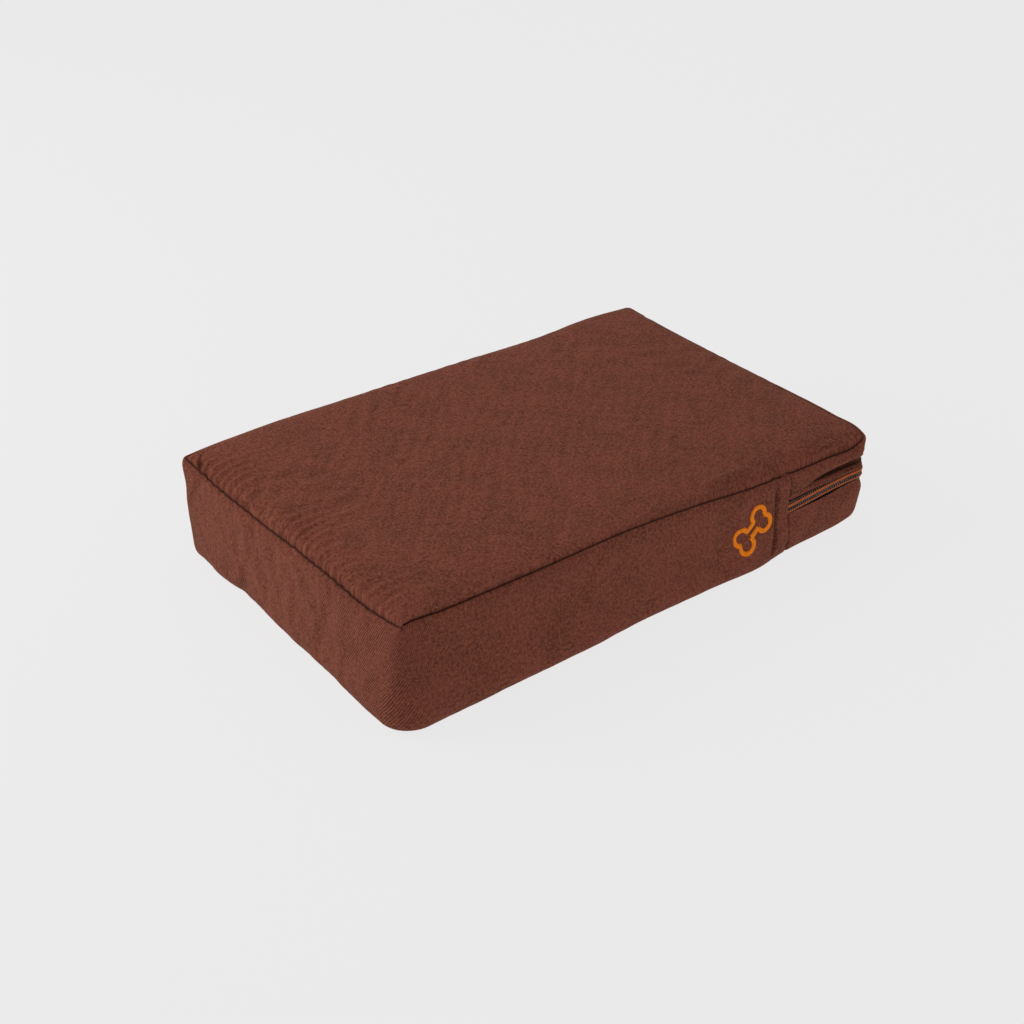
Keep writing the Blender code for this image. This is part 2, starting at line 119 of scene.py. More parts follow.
# How the filled cover really sits, all the way round: it is full on the left and slack at the
# near right corner. Heights are over the floor, and outs are past the plan rectangle.
seam_height = round_wall(
    front=[(-199, 71.6), (-150, 72.2), (-90, 72.4), (-20, 72.8), (45, 68.6), (85, 64.4), (125, 62.6),
           (165, 62.5), (190, 63.0), (198, 66.0)],
    right=[(-118, 70.5), (-95, 71.5), (-30, 72.0), (60, 72.0), (120, 73.0)],
    back=[(160, 75.5), (110, 74.0), (40, 76.0), (-60, 78.0), (-150, 79.5), (-198, 77.5)],
    left=[(100, 73.5), (20, 69.5), (-50, 69.5), (-100, 68.5)],
)
foot_out = round_wall(
    front=[(-199, 8.5), (-150, 8.0), (-60, 6.5), (0, 4.0), (50, 4.0), (100, 5.0), (122, 1.5),
           (160, -0.5), (190, -1.0)],
    right=[(-112, 0.0), (-60, 1.0), (0, 2.0), (100, 1.5)],
    back=[(190, 2.5), (100, 2.5), (0, 3.5), (-100, 4.0), (-190, 2.0)],
    left=[(120, -0.5), (90, 1.0), (50, -0.5), (10, 2.5), (-50, 5.0), (-110, 8.5)],
)
middle_out = round_wall(
    front=[(-199, 3.5), (-100, 2.5), (0, 1.8), (100, 2.0), (150, 1.5), (199, 5.0)],
    right=[(-110, 4.0), (-60, 1.2), (0, 1.0), (100, 1.8)],
    back=[(190, 5.0), (90, 3.5), (0, 4.0), (-100, 5.0), (-190, 3.6)],
    left=[(118, 3.6), (60, 2.5), (0, 1.5), (-70, 2.5)],
)
seam_out = round_wall(
    front=[(-199, -3.2), (-165, -1.3), (-120, -0.5), (0, 0.0), (120, 0.0), (198, 1.5)],
    right=[(-100, 1.5), (0, 1.0), (110, 1.5)],
    back=[(180, 2.0), (60, 2.5), (-80, 3.0), (-190, 2.0)],
    left=[(110, 1.6), (0, -0.5), (-100, -0.5), (-122, -2.0)],
)
chain_height = round_wall(
    front=[(60, 35.0), (112, 36.4), (126, 37.2), (160, 39.6), (186, 41.3), (199, 42.0), (-150, 36.0)],
    right=[(-116, 41.0), (-104, 40.1), (-90, 40.0), (-60, 40.0), (0, 40.0), (60, 40.0), (110, 40.0)],
    back=[(100, 40.0), (-100, 40.0)],
    left=[(0, 38.0)],
)
chain_out = round_wall(
    front=[(60, 1.0), (130, 0.6), (180, 1.0), (198, 2.0)],
    right=[(-121, 0.6), (-111, -0.4), (-100, -0.6), (0, -0.6), (110, -0.6)],
    back=[(100, 0.0), (-100, 0.0)],
    left=[(0, 0.0)],
)
topstitch_height = round_wall(
    front=[(60, 48.0), (124, 47.6), (160, 48.0), (197, 49.5)],
    right=[(-110, 49.2), (-60, 49.0), (60, 49.0), (110, 49.0)],
    back=[(100, 49.0), (-100, 49.0)],
    left=[(0, 48.0)],
)

CORNER_RADII = {"near": 12 * MM, "slack": 9 * MM, "far": 10 * MM, "left": 8 * MM}
SEAM_RADIUS = 3.5 * MM


def corner_radius(distance):
    """The wall's plan radius at the corner nearest to this distance."""
    distance = np.mod(distance, PERIMETER)
    bounds = [LENGTH / 2, LENGTH + WIDTH / 2, 1.5 * LENGTH + WIDTH, 2 * LENGTH + 1.5 * WIDTH]
    index = np.searchsorted(bounds, distance)
    radii = [CORNER_RADII[name] for name in ("near", "slack", "far", "left", "near")]
    return np.array(radii)[index]


def toward(angle):
    """The level unit vector at this angle."""
    return np.stack([np.cos(angle), np.sin(angle)], -1)


def plan(distance, radius, out):
    """Plan position and outward direction on the rounded rectangle, moved outward by out.

    The radius grows where it has to, so that a deep inset can't turn a corner inside out.
    """
    distance = np.mod(distance, PERIMETER)
    radius = np.maximum(radius, 0.4 * MM - out)
    starts = np.array([0.0, LENGTH, LENGTH + WIDTH, 2 * LENGTH + WIDTH])
    side = np.searchsorted(starts, distance, side="right") - 1
    span = np.array([LENGTH, WIDTH, LENGTH, WIDTH])[side]
    along = distance - starts[side]
    half_x, half_y = LENGTH / 2, WIDTH / 2
    origin = np.array([(-half_x, -half_y), (half_x, -half_y), (half_x, half_y), (-half_x, half_y)])[side]
    heading = side * math.pi / 2
    facing = heading - math.pi / 2
    to_end = span - along
    turn = np.where(to_end < radius, 1 - to_end / radius, 0.0)
    turn = np.where(along < radius, along / radius - 1, turn) * math.pi / 4
    centre_at = np.where(along < radius, radius, span - radius)[..., None]
    centre = origin + toward(heading) * centre_at - toward(facing) * radius[..., None]
    direction = toward(facing + turn)
    straight = origin + toward(heading) * along[..., None]
    rounded = centre + direction * radius[..., None]
    place = np.where((turn != 0)[..., None], rounded, straight)
    return place + direction * out[..., None], direction


# The wall's cross-section is a smooth curve led by this many stations.
WALL_STATIONS = 8
WALL_KNOTS = np.concatenate([[0] * 3, np.linspace(0, 1, WALL_STATIONS - 2), [1] * 3])


def spline_weights(share):
    """The clamped cubic B-spline weights of the wall's stations at this share of its height."""
    share = np.clip(share, 0, 1 - 1e-9)
    weights = [
        ((WALL_KNOTS[i] <= share) & (share < WALL_KNOTS[i + 1])).astype(float)
        for i in range(len(WALL_KNOTS) - 1)
    ]
    for degree in range(1, 4):
        raised = []
        for i in range(len(weights) - 1):
            total = 0.0
            low = WALL_KNOTS[i + degree] - WALL_KNOTS[i]
            high = WALL_KNOTS[i + degree + 1] - WALL_KNOTS[i + 1]
            if low > 0:
                total = total + (share - WALL_KNOTS[i]) / low * weights[i]
            if high > 0:
                total = total + (WALL_KNOTS[i + degree + 1] - share) / high * weights[i + 1]
            raised.append(total)
        weights = raised
    return weights


def rough(points, size, seed):
    """Smooth noise from about -1 to 1 with features of this size, read at each point."""
    places = points.reshape(-1, 3) / size + seed * 17.31
    values = [noise.fractal(Vector(at), 0.6, 2.0, 2, noise_basis="PERLIN_ORIGINAL") for at in places]
    return np.array(values).reshape(points.shape[:-1])


def hump(value, middle, width):
    """A smooth hump of height 1 at the middle."""
    return np.exp(-(((value - middle) / width) ** 2))


def in_zip(distance):
    """1 along the zip and 0 beyond its ends."""
    start = smooth(distance, ZIP_START - 5 * MM, ZIP_START + 5 * MM)
    return start * (1 - smooth(distance, ZIP_END - 5 * MM, ZIP_END + 5 * MM))


def zip_creases(distance, z):
    """The soft crease over the topstitching, with the cloth full above it and the lip below."""
    line = topstitch_height(distance)
    deep = smooth(distance, front(134), front(172))
    deep = deep * (1 - 0.75 * smooth(distance, right(-118), right(-96)))
    deep = (0.14 + 0.86 * deep) * (1 - 0.55 * hump(distance, front(200), 9 * MM))
    valley = -3.3 * MM * hump(z, line + 2.2 * MM, 3.1 * MM)
    above = 0.7 * MM * hump(z, line + 9.0 * MM, 3.4 * MM)
    lip = 1.9 * MM * hump(z, line - 2.4 * MM, 2.3 * MM)
    corner = hump(distance, front(198), 13 * MM)
    nip = -1.1 * MM * corner * hump(z, line + 8.0 * MM + 0.25 * (distance - front(198)), 1.6 * MM)
    return in_zip(distance) * (deep * (valley + above + lip) + nip)


def fold_creases(distance, z):
    """The crease at the left of the front fold, and the creases that spread at its foot."""
    lean = front(112.5) - 7 * MM * (1 - smooth(z, 0, 26 * MM))
    soft = -2.3 * MM * hump(distance, lean, 1.6 * MM) * (1 - 0.6 * smooth(z, 48 * MM, 66 * MM))
    soft = soft * smooth(z, 3 * MM, 12 * MM)
    foot = (1 - smooth(z, 8 * MM, 24 * MM)) * smooth(z, 3 * MM, 8 * MM)
    spread = -1.1 * MM * hump(distance, front(120) - 0.55 * (18 * MM - z), 1.6 * MM) * foot
    pinch = -1.6 * MM * hump(distance, front(125.5), 2.4 * MM) * hump(z, 8 * MM, 3.0 * MM)
    back_soft = -0.9 * MM * hump(distance, right(106), 2.2 * MM)
    edge = -1.6 * MM * hump(distance, FOLD_END + 1.2 * MM, 1.1 * MM)
    back_edge = -1.6 * MM * hump(distance, BACK_FOLD_END - 1.2 * MM, 1.1 * MM)
    return soft + spread + pinch + back_soft + edge + back_edge


def corner_creases(distance, z):
    """Where the slack and the far corners pucker under their seams."""
    slack = hump(distance, LENGTH, 3.0 * MM) * hump(z, 60 * MM, 5 * MM) * -1.5 * MM
    slit = hump(distance, front(171), 4.5 * MM) * hump(z, 64.4 * MM, 1.3 * MM) * -1.4 * MM
    far = hump(distance, 2 * LENGTH + WIDTH, 6 * MM) * hump(z, 58 * MM, 9 * MM) * -1.0 * MM
    drag_line = distance - left(104) + 0.55 * (70 * MM - z)
    drag = hump(drag_line, 0, 3.6 * MM) * smooth(z, 30 * MM, 56 * MM) * -0.8 * MM
    ruck_line = distance - left(62) - 0.45 * z
    ruck = hump(ruck_line, 0, 6 * MM) * (1 - smooth(z, 8 * MM, 34 * MM)) * -0.9 * MM
    return slack + slit + far + drag + ruck


def creases(distance, z):
    """Every crease of the side wall together: how far the cloth lies out of its smooth place."""
    return zip_creases(distance, z) + fold_creases(distance, z) + corner_creases(distance, z)


GATHER_PITCH = 8.2 * MM


def gathers(y, edge, seed):
    """The short pleats that the gathered left seam sends into the cloth beside it."""
    wander = 1.7 * MM * np.sin(y / (19 * MM) + seed) + 1.1 * MM * np.sin(y / (7.3 * MM) + 2 * seed)
    phase = 2 * math.pi * (y + wander + 0.12 * edge) / GATHER_PITCH
    ridge = 1 - 2 * np.abs(np.sin(phase / 2)) ** 0.8
    uneven = 0.65 + 0.35 * np.sin(y / (11 * MM) + 1.3 + seed) * np.sin(y / (27 * MM) + 0.4)
    length = (14 + 6 * np.sin(y / (13 * MM) + 3 * seed)) * MM
    extent = smooth(y, -WIDTH / 2 + 8 * MM, -WIDTH / 2 + 30 * MM)
    return ridge * uneven * extent * np.exp(-edge / length)


# The cloth simulation's coarse grid has this many steps along the length, width and height. It adds
# to moved how far each point of the wall and of the top went.
SIM_LONG, SIM_WIDE, SIM_HIGH = 66, 42, 14
SIM_FRAMES = 20
SIM_CAP = 3 * MM
SIM_PRESSURE = 4
SIM_SLACK = 0.007
FILLING_HOLD = 0.3
SEAM_HOLD = 0.9
moved = {}


def sampled(grid, rows, columns, around=False):
    """A grid of vectors read smoothly between its points; around joins its last column to its first."""
    rows, columns = np.broadcast_arrays(rows, columns)
    height, width = grid.shape[:2]
    row, column = np.floor(rows).astype(int), np.floor(columns).astype(int)
    row_share, column_share = (rows - row)[..., None], (columns - column)[..., None]

    def weights(t):
        return (
            (-t + 2 * t**2 - t**3) / 2,
            (2 - 5 * t**2 + 3 * t**3) / 2,
            (t + 4 * t**2 - 3 * t**3) / 2,
            (-(t**2) + t**3) / 2,
        )

    total = 0.0
    for i, row_weight in enumerate(weights(row_share)):
        at_row = np.clip(row + i - 1, 0, height - 1)
        for j, column_weight in enumerate(weights(column_share)):
            at_column = column + j - 1
            at_column = at_column % width if around else np.clip(at_column, 0, width - 1)
            total = total + row_weight * column_weight * grid[at_row, at_column]
    return total


def sim_column(distance):
    """The simulation grid's column at this distance along the wall."""
    starts = np.array([0.0, LENGTH, LENGTH + WIDTH, 2 * LENGTH + WIDTH, PERIMETER])
    columns = np.cumsum([0, SIM_LONG, SIM_WIDE, SIM_LONG, SIM_WIDE])
    return np.interp(np.mod(distance, PERIMETER), starts, columns)


# The groove of the top seam, and how dark the painted shade in it and in the deepest creases is.
SEAM_DEPTH = 1.2 * MM
SEAM_SPREAD = 0.42 * MM
PAINTED_SHADE = 0.68
FULL_CREASE = 3.0 * MM


def wall_section(distance, share):
    """The wall's smooth cross-section at each place: how far out and how high it is."""
    foot, middle, top = foot_out(distance), middle_out(distance), seam_out(distance)
    high = seam_height(distance)
    lifted = 3.4 * MM * hump(distance, LENGTH, 15 * MM)
    stations = [
        (foot - 11 * MM, 1.2 * MM + lifted),
        (foot - 5 * MM, 0.2 * MM + lifted),
        (foot + 1.5 * MM, 0.2 * MM + lifted),
        (foot + 2.0 * MM, 0.16 * high + lifted),
        (middle, 0.52 * high),
        (top + 1.8 * MM, 0.86 * high),
        (top + 1.4 * MM, high - 0.2 * MM),
        (top - 2.2 * MM, high),
    ]
    weights = spline_weights(share)
    out = sum(weight * station[0] for weight, station in zip(weights, stations))
    return out, sum(weight * station[1] for weight, station in zip(weights, stations))


def waves_and_gathers(place, distance, share, held):
    """How far the wall's soft waves and the left side's gathers lift the cloth out."""
    under_seam = seam_height(distance) - place[..., 2]
    free = smooth(under_seam, 0.5 * MM, 7 * MM) * smooth(share, 0.0, 0.12)
    waves = 0.55 * rough(place, 42 * MM, 1) + 0.22 * rough(place, 15 * MM, 2)
    on_left = smooth(distance, left(124), left(108)) * (distance < PERIMETER - 6 * MM)
    pleats = 0.45 * MM * on_left * gathers(left_y(distance), under_seam, 1.7)
    return free * waves * MM * (1 - 0.8 * held) + pleats


def fold_rise(distance, z):
    """How far the boxing strip stands out where its ends fold over the zip's."""
    fold = smooth(distance, front(110), front(114)) * (distance < front(160))
    on_back = (distance > right(60)) * (distance < right(127))
    back_fold = (1 - smooth(distance, right(104), right(108))) * on_back
    under_seam = seam_height(distance) - z
    return 1.35 * MM * (fold + back_fold) * smooth(under_seam, 0, 5 * MM) * smooth(z, 0, 9 * MM)


def wall(distance, share, relief=True, raised=False):
    """Points of the wall: share runs from the seam under the foot, 0, up to the top seam, 1.

    The boxing strip is raised where its ends fold over the zip's.
    """
    distance, share = np.broadcast_arrays(np.asarray(distance, float), np.asarray(share, float))
    distance = np.mod(distance, PERIMETER)
    out, z = wall_section(distance, share)
    held = in_zip(distance) * (1 - smooth(np.abs(z - chain_height(distance)), 6.5 * MM, 15 * MM))
    out = out + (chain_out(distance) - out) * held
    radius = SEAM_RADIUS + (corner_radius(distance) - SEAM_RADIUS) * (1 - smooth(share, 0.72, 1.0))
    if relief:
        place, _ = plan(distance, radius, out)
        place = np.concatenate([place, z[..., None]], -1)
        out = out + waves_and_gathers(place, distance, share, held) + creases(distance, z)
    if raised:
        out = out + fold_rise(distance, z)
    place, facing = plan(distance, radius, out)
    place = np.concatenate([place, z[..., None]], -1)
    if "wall" in moved:
        shift = sampled(moved["wall"], share * SIM_HIGH, sim_column(distance), around=True)
        place = place + shift * (1 - 0.9 * held)[..., None]
    groove = SEAM_DEPTH * hump(seam_gap(share), 0, SEAM_SPREAD)
    down = np.concatenate([facing, np.ones_like(z)[..., None]], -1) / math.sqrt(2)
    return place - down * groove[..., None]


def seam_gap(share):
    """How far along the cloth a point near the top seam lies from it.

    The wall's last two stations are 3.6 mm apart, and its spline leaves the last one at three
    times its number of spans as fast.
    """
    speed = 3 * (WALL_STATIONS - 3)
    return (1 - share) * speed * 3.6 * MM


def left_y(distance):
    """The y of a place on the left side."""
    return 2 * LENGTH + 1.5 * WIDTH - distance


SHARE_TABLE = np.linspace(0, 1, 161)


def share_at_height(distance, height):
    """The share of the wall at which it stands at this height, for each distance."""
    distance = np.asarray(distance, float)
    heights = wall(distance[..., None], SHARE_TABLE, relief=False)[..., 2]
    found = np.empty(distance.shape)
    wanted = np.broadcast_to(height, distance.shape)
    for index in np.ndindex(distance.shape):
        found[index] = np.interp(wanted[index], heights[index], SHARE_TABLE)
    return found


def outward(distance):
    """The level direction straight out of the wall at each place."""
    _, facing = plan(distance, corner_radius(distance), 0 * distance)
    return np.concatenate([facing, 0 * facing[..., :1]], -1)


def stepped(length, fine, coarse, growth=1.45):
    """Places from 0 to length, close together at both ends and coarse apart between."""
    near = [0.0]
    step = fine
    while step < coarse:
        near.append(near[-1] + step)
        step *= growth
    finish = [length - place for place in reversed(near)]
    gap = finish[0] - near[-1]
    count = max(1, round(gap / coarse))
    between = [near[-1] + gap * i / count for i in range(1, count)]
    return np.array(near + between + finish)


# Making pieces.


def link(name, data):
    """A new object in the scene that shows this data."""
    made = bpy.data.objects.new(name, data)
    bpy.context.scene.collection.objects.link(made)
    return made


def new_piece(name, node, mesh, look):
    """A smooth-shaded piece that rides on the cushion and stands for a CAD node."""
    mesh.materials.append(look)
    mesh.shade_smooth()
    piece = link(name, mesh)
    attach(piece, "cushion")
    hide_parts(node)
    return piece


def quads(numbers):
    """The faces between the points of a numbered grid."""
    ring = [numbers[:-1, :-1], numbers[:-1, 1:], numbers[1:, 1:], numbers[1:, :-1]]
    return np.stack(ring, -1).reshape(-1, 4)


def grid_mesh(name, points, layers=()):
    """A mesh of a grid of points; layers are (name, values) with a value or a vector per point."""
    rows, columns = points.shape[:2]
    faces = quads(np.arange(rows * columns).reshape(rows, columns))
    mesh = bpy.data.meshes.new(name)
    mesh.from_pydata(points.reshape(-1, 3).tolist(), [], faces.tolist())
    for layer, values in layers:
        values = np.asarray(values, np.float32)
        if values.ndim == 3:
            made = mesh.attributes.new(layer, "FLOAT_VECTOR", "POINT")
            made.data.foreach_set("vector", values.reshape(-1))
        else:
            made = mesh.attributes.new(layer, "FLOAT", "POINT")
            made.data.foreach_set("value", values.reshape(-1))
    return mesh


CLOTH = 0.9 * MM


def thicken(piece, thickness, offset):
    """Give a sheet its thickness, inward from its grid with offset -1 or on both sides with 0."""
    solid = piece.modifiers.new("thickness", "SOLIDIFY")
    solid.thickness = thickness
    solid.offset = offset


def cloth_piece(name, node, points, cloth, rib, fold):
    """A piece of cover cloth: its outer face is the grid, and its thickness goes inward.

    cloth holds the places on the flat cloth, rib says how clearly the twill shows, and fold how
    dark the painted shade of seams, creases and hollows is there.
    """
    mesh = grid_mesh(name, points, (("cloth", cloth), ("rib", rib), ("fold", fold)))
    piece = new_piece(name, node, mesh, COVER_CLOTH)
    thicken(piece, CLOTH, -1)
    return piece


def unit(vectors):
    """The vectors at length 1."""
    return vectors / np.maximum(np.linalg.norm(vectors, axis=1, keepdims=True), 1e-12)


def tube(path, radius, sides):
    """The points of a round tube along a path, ring after ring, and its faces with both ends."""
    along = unit(np.gradient(path, axis=0))
    helper = np.array([0.0, 0.0, 1.0])
    if abs(along[0] @ helper) > 0.8:
        helper = np.array([1.0, 0.0, 0.0])
    side = unit(np.cross(along, helper))
    other = np.cross(along, side)
    angles = 2 * math.pi * np.arange(sides)[:, None] / sides
    points = path[:, None] + radius * (np.cos(angles) * side[:, None] + np.sin(angles) * other[:, None])
    numbers = np.arange(len(path) * sides).reshape(-1, sides)
    around = quads(np.concatenate([numbers, numbers[:, :1]], 1))
    return points.reshape(-1, 3), [*around, numbers[0, ::-1], numbers[-1]]


def tubes(name, node, paths, radius, look, sides=6):
    """A piece of round tubes with closed ends that follow the paths."""
    points, faces = [], []
    for path in paths:
        rings, walls = tube(path, radius, sides)
        faces += [(face + len(points)).tolist() for face in walls]
        points += rings.tolist()
    mesh = bpy.data.meshes.new(name)
    mesh.from_pydata(points, [], faces)
    new_piece(name, node, mesh, look)


# The top and bottom panels.


def between_edges(u, v, front_edge, back_edge, left_edge, right_edge):
    """A smooth sheet between four edges that meet at its corners."""
    u, v = u[..., None], v[..., None]
    sheet = (1 - v) * front_edge[None] + v * back_edge[None]
    sheet = sheet + (1 - u) * left_edge[:, None] + u * right_edge[:, None]
    for edge, near in ((front_edge, 1 - v), (back_edge, v)):
        sheet = sheet - (1 - u) * near * edge[0] - u * near * edge[-1]
    return sheet


def panel(xs, ys, share):
    """The flat-lying grid whose four edges are the wall's line at this share."""
    u, v = np.meshgrid(xs / LENGTH, ys / WIDTH)
    edges = (xs, 2 * LENGTH + WIDTH - xs, PERIMETER - ys, LENGTH + ys)
    return between_edges(u, v, *(wall(places, share) for places in edges)), u, v


def full_height(x, y):
    """How high the filling holds the middle of the top panel."""
    slope = 78.8 - 3.0 * x / (LENGTH / 2) + 2.0 * y / (WIDTH / 2)
    rise = 1.2 * hump(x, -150 * MM, 80 * MM) * hump(y, 100 * MM, 50 * MM)
    dip = -1.3 * hump(x, 113 * MM, 20 * MM) * hump(y, 118 * MM, 34 * MM)
    lump = 1.4 * hump(x, 146 * MM, 18 * MM) * hump(y, 116 * MM, 26 * MM)
    return (slope + rise + dip + lump) * MM


def top_relief(x, y, left_gap):
    """Fine shape of the top panel: gathers along the left seam and a pucker at the far left."""
    relief = 1.9 * MM * gathers(y, left_gap, 0.6)
    bend = (x + 196.5 * MM) - 0.9 * (y - 110 * MM) ** 2 / (8 * MM)
    hook = -3.0 * MM * hump(bend, 0, 1.5 * MM) * hump(y, 112 * MM, 5.5 * MM)
    heel = 0.9 * MM * hump(x, -194 * MM, 4 * MM) * hump(y, 119 * MM, 5 * MM)
    return relief + hook + heel


# How far in from its left, right, front and back seams the top panel rolls up to its full height.
TOP_ROLLS = (9 * MM, 6 * MM, 10 * MM, 6 * MM)


def top_shape(xs, ys, relief=True):
    """The top panel's points, and how far each one lies from the nearest seam and the left one."""
    points, u, v = panel(xs, ys, 1.0)
    x, y = points[..., 0], points[..., 1]
    side_gap = np.minimum(u, 1 - u) * LENGTH
    front_gap = np.minimum(v, 1 - v) * WIDTH
    gap = np.minimum(side_gap, front_gap)
    rise = 1.0
    for edge_gap, roll in zip((u * LENGTH, (1 - u) * LENGTH, v * WIDTH, (1 - v) * WIDTH), TOP_ROLLS):
        rise = rise * (1 - np.exp(-edge_gap / roll))
    seam = points[..., 2] + SEAM_DEPTH / math.sqrt(2)
    z = seam + (full_height(x, y) - seam) * rise
    if relief:
        waves = 0.5 * rough(points, 55 * MM, 4) + 0.24 * rough(points, 17 * MM, 5)
        z = z + smooth(gap, 0.8 * MM, 8 * MM) * waves * MM
        z = z + top_relief(x, y, u * LENGTH) * smooth(gap, 0.0, 2.5 * MM)
    points[..., 2] = z - SEAM_DEPTH / math.sqrt(2) * hump(gap, 0, SEAM_SPREAD)
    if "top" in moved:
        shift = sampled(moved["top"], v * SIM_WIDE, u * SIM_LONG)
        points = points + shift * smooth(gap, 0.0, 6 * MM)[..., None]
    return points, gap, u * LENGTH


def top_panel():
    """The top of the cover, crowned by the filling and gathered along its left seam."""
    xs = stepped(LENGTH, 0.25 * MM, 1.9 * MM)
    ys = stepped(WIDTH, 0.25 * MM, 1.25 * MM)
    points, gap, left_gap = top_shape(xs, ys)
    x, y = points[..., 0], points[..., 1]
    cloth = np.stack([x, y, 0 * x], -1)
    rib = 0.12 + 0 * x
    # Painted shade in the top seam and in the hollows of the gathers and the pucker.
    painted_hollow_shade = np.clip(-top_relief(x, y, left_gap) / (1.6 * MM), 0, 1)
    fold = np.clip(PAINTED_SHADE * hump(gap, 0, SEAM_SPREAD) + 0.42 * painted_hollow_shade, 0, 1)
    piece = cloth_piece("top_panel_cloth", "cover_top_panel", points, cloth, rib, fold)


def bottom_panel():
    """The underside of the cover, which lies flat inside its seams."""
    xs = stepped(LENGTH, 1.0 * MM, 4.0 * MM)
    ys = stepped(WIDTH, 1.0 * MM, 4.0 * MM)
    points, u, v = panel(xs, ys, 0.0)
    gap = np.minimum(np.minimum(u, 1 - u) * LENGTH, np.minimum(v, 1 - v) * WIDTH)
    points[..., 2] = points[..., 2] * (1 - smooth(gap, 0, 7 * MM))
    points, gap = points[:, ::-1], gap[:, ::-1]
    cloth = np.stack([points[..., 0], points[..., 1], 0 * u], -1)
    rib = 0.25 + 0 * u
    # Painted shade along the seams.
    fold = 0.8 * hump(gap, 0, 1 * MM)
    piece = cloth_piece("bottom_panel_cloth", "cover_bottom_panel", points, cloth, rib, fold)


# The cloth simulation.


def panel_numbers(wall_row, first):
    """Vertex numbers of a panel's grid, which shares its edges with a row of the wall's."""
    around = len(wall_row)
    numbers = np.arange(first, first + (SIM_WIDE + 1) * (SIM_LONG + 1))
    numbers = numbers.reshape(SIM_WIDE + 1, SIM_LONG + 1)
    for i in range(SIM_LONG + 1):
        numbers[0, i] = wall_row[i]
        numbers[-1, i] = wall_row[2 * SIM_LONG + SIM_WIDE - i]
    for j in range(SIM_WIDE + 1):
        numbers[j, 0] = wall_row[-j % around]
        numbers[j, -1] = wall_row[SIM_LONG + j]
    return numbers


class CoarseCover:
    """The whole cover as one welded coarse mesh, and where its grids lie in it."""

    def __init__(self):
        xs, ys = np.linspace(0, LENGTH, SIM_LONG + 1), np.linspace(0, WIDTH, SIM_WIDE + 1)
        self.places = np.concatenate([
            xs[:-1], LENGTH + ys[:-1], LENGTH + WIDTH + xs[:-1], 2 * LENGTH + WIDTH + ys[:-1],
        ])
        self.side = wall(self.places, np.linspace(0, 1, SIM_HIGH + 1)[:, None])
        top = top_shape(xs, ys, relief=False)[0]
        bottom = panel(xs, ys, 0.0)[0]
        self.rows = np.arange(self.side[..., 0].size).reshape(self.side.shape[:2])
        self.top = panel_numbers(self.rows[-1], self.rows.size)
        self.bottom = panel_numbers(self.rows[0], self.rows.size + top[..., 0].size)
        self.points = np.concatenate([part.reshape(-1, 3) for part in (self.side, top, bottom)])

    def mesh(self):
        """The mesh of the points that faces use, those points' numbers, and each point's new one."""
        joined = np.concatenate([self.rows, self.rows[:, :1]], 1)
        grids = (joined, self.top, self.bottom[:, ::-1])
        faces = np.concatenate([quads(numbers) for numbers in grids])
        used = np.unique(faces)
        renumber = np.full(len(self.points), -1)
        renumber[used] = np.arange(len(used))
        mesh = bpy.data.meshes.new("settling_cover")
        mesh.from_pydata(self.points[used].tolist(), [], renumber[faces].tolist())
        return mesh, used, renumber

    def fixed(self):
        """True for each point of the underside and of the zip's stiff line."""
        on_zip = np.zeros(len(self.points), bool)
        drop = np.abs(self.side[..., 2] - chain_height(self.places))
        on_zip[: self.rows.size] = (in_zip(self.places) * (drop < 11 * MM) > 0.5).reshape(-1)
        return on_zip | (self.points[:, 2] < 3 * MM)


def make_slack_cloth(cover):
    """Set the cloth modifier that inflates the cover: slack cloth, pressure and no gravity."""
    cloth = cover.modifiers.new("cloth", "CLOTH")
    rules = cloth.settings
    rules.quality = 6
    rules.mass = 0.3
    rules.tension_stiffness = 30
    rules.compression_stiffness = 30
    rules.shear_stiffness = 12
    rules.bending_stiffness = 1.5
    rules.air_damping = 3
    rules.use_pressure = True
    rules.uniform_pressure_force = SIM_PRESSURE
    rules.shrink_min = -SIM_SLACK
    rules.effector_weights.gravity = 0
    rules.vertex_group_mass = "held"
    cloth.collision_settings.use_collision = False
    cloth.point_cache.frame_start, cloth.point_cache.frame_end = 1, SIM_FRAMES


def settle_cover():
    """Blow the whole cover up a little against its filling, with slack cloth, and keep the moves.

    The underside and the zip's stiff line are held. The wall's and the top's moves then shape the
    fine pieces.
    """
    coarse = CoarseCover()
    mesh, used, renumber = coarse.mesh()
    cover = link("settling_cover", mesh)
    scene = bpy.context.scene
    fixed = coarse.fixed()[used]
    pins = cover.vertex_groups.new(name="held")
    pins.add(np.flatnonzero(~fixed).tolist(), FILLING_HOLD, "REPLACE")
    pins.add(np.flatnonzero(fixed).tolist(), 1.0, "REPLACE")
    pins.add(renumber[coarse.rows[-1]].tolist(), SEAM_HOLD, "REPLACE")
    make_slack_cloth(cover)
    for frame_number in range(1, SIM_FRAMES + 1):
        scene.frame_set(frame_number)
    settled = cover.evaluated_get(bpy.context.evaluated_depsgraph_get()).to_mesh()
    after = np.empty(len(used) * 3)
    settled.vertices.foreach_get("co", after)
    shift = np.zeros_like(coarse.points)
    shift[used] = after.reshape(-1, 3) - coarse.points[used]
    size = np.maximum(np.linalg.norm(shift, axis=1, keepdims=True), 1e-9)
    shift = shift / size * np.tanh(size / SIM_CAP) * SIM_CAP
    bpy.data.objects.remove(cover)
    bpy.data.meshes.remove(mesh)
    scene.frame_set(1)
    moved["wall"] = shift[coarse.rows]
    moved["top"] = shift[coarse.top]


# The side wall's cloth.

# How far up along the cloth each share of the wall's height is, at a place without folds.
TYPICAL = wall(np.array([front(-60)]), SHARE_TABLE, relief=False)
WALL_ARC = np.concatenate([[0], np.cumsum(np.linalg.norm(np.diff(TYPICAL, axis=0), axis=1))])


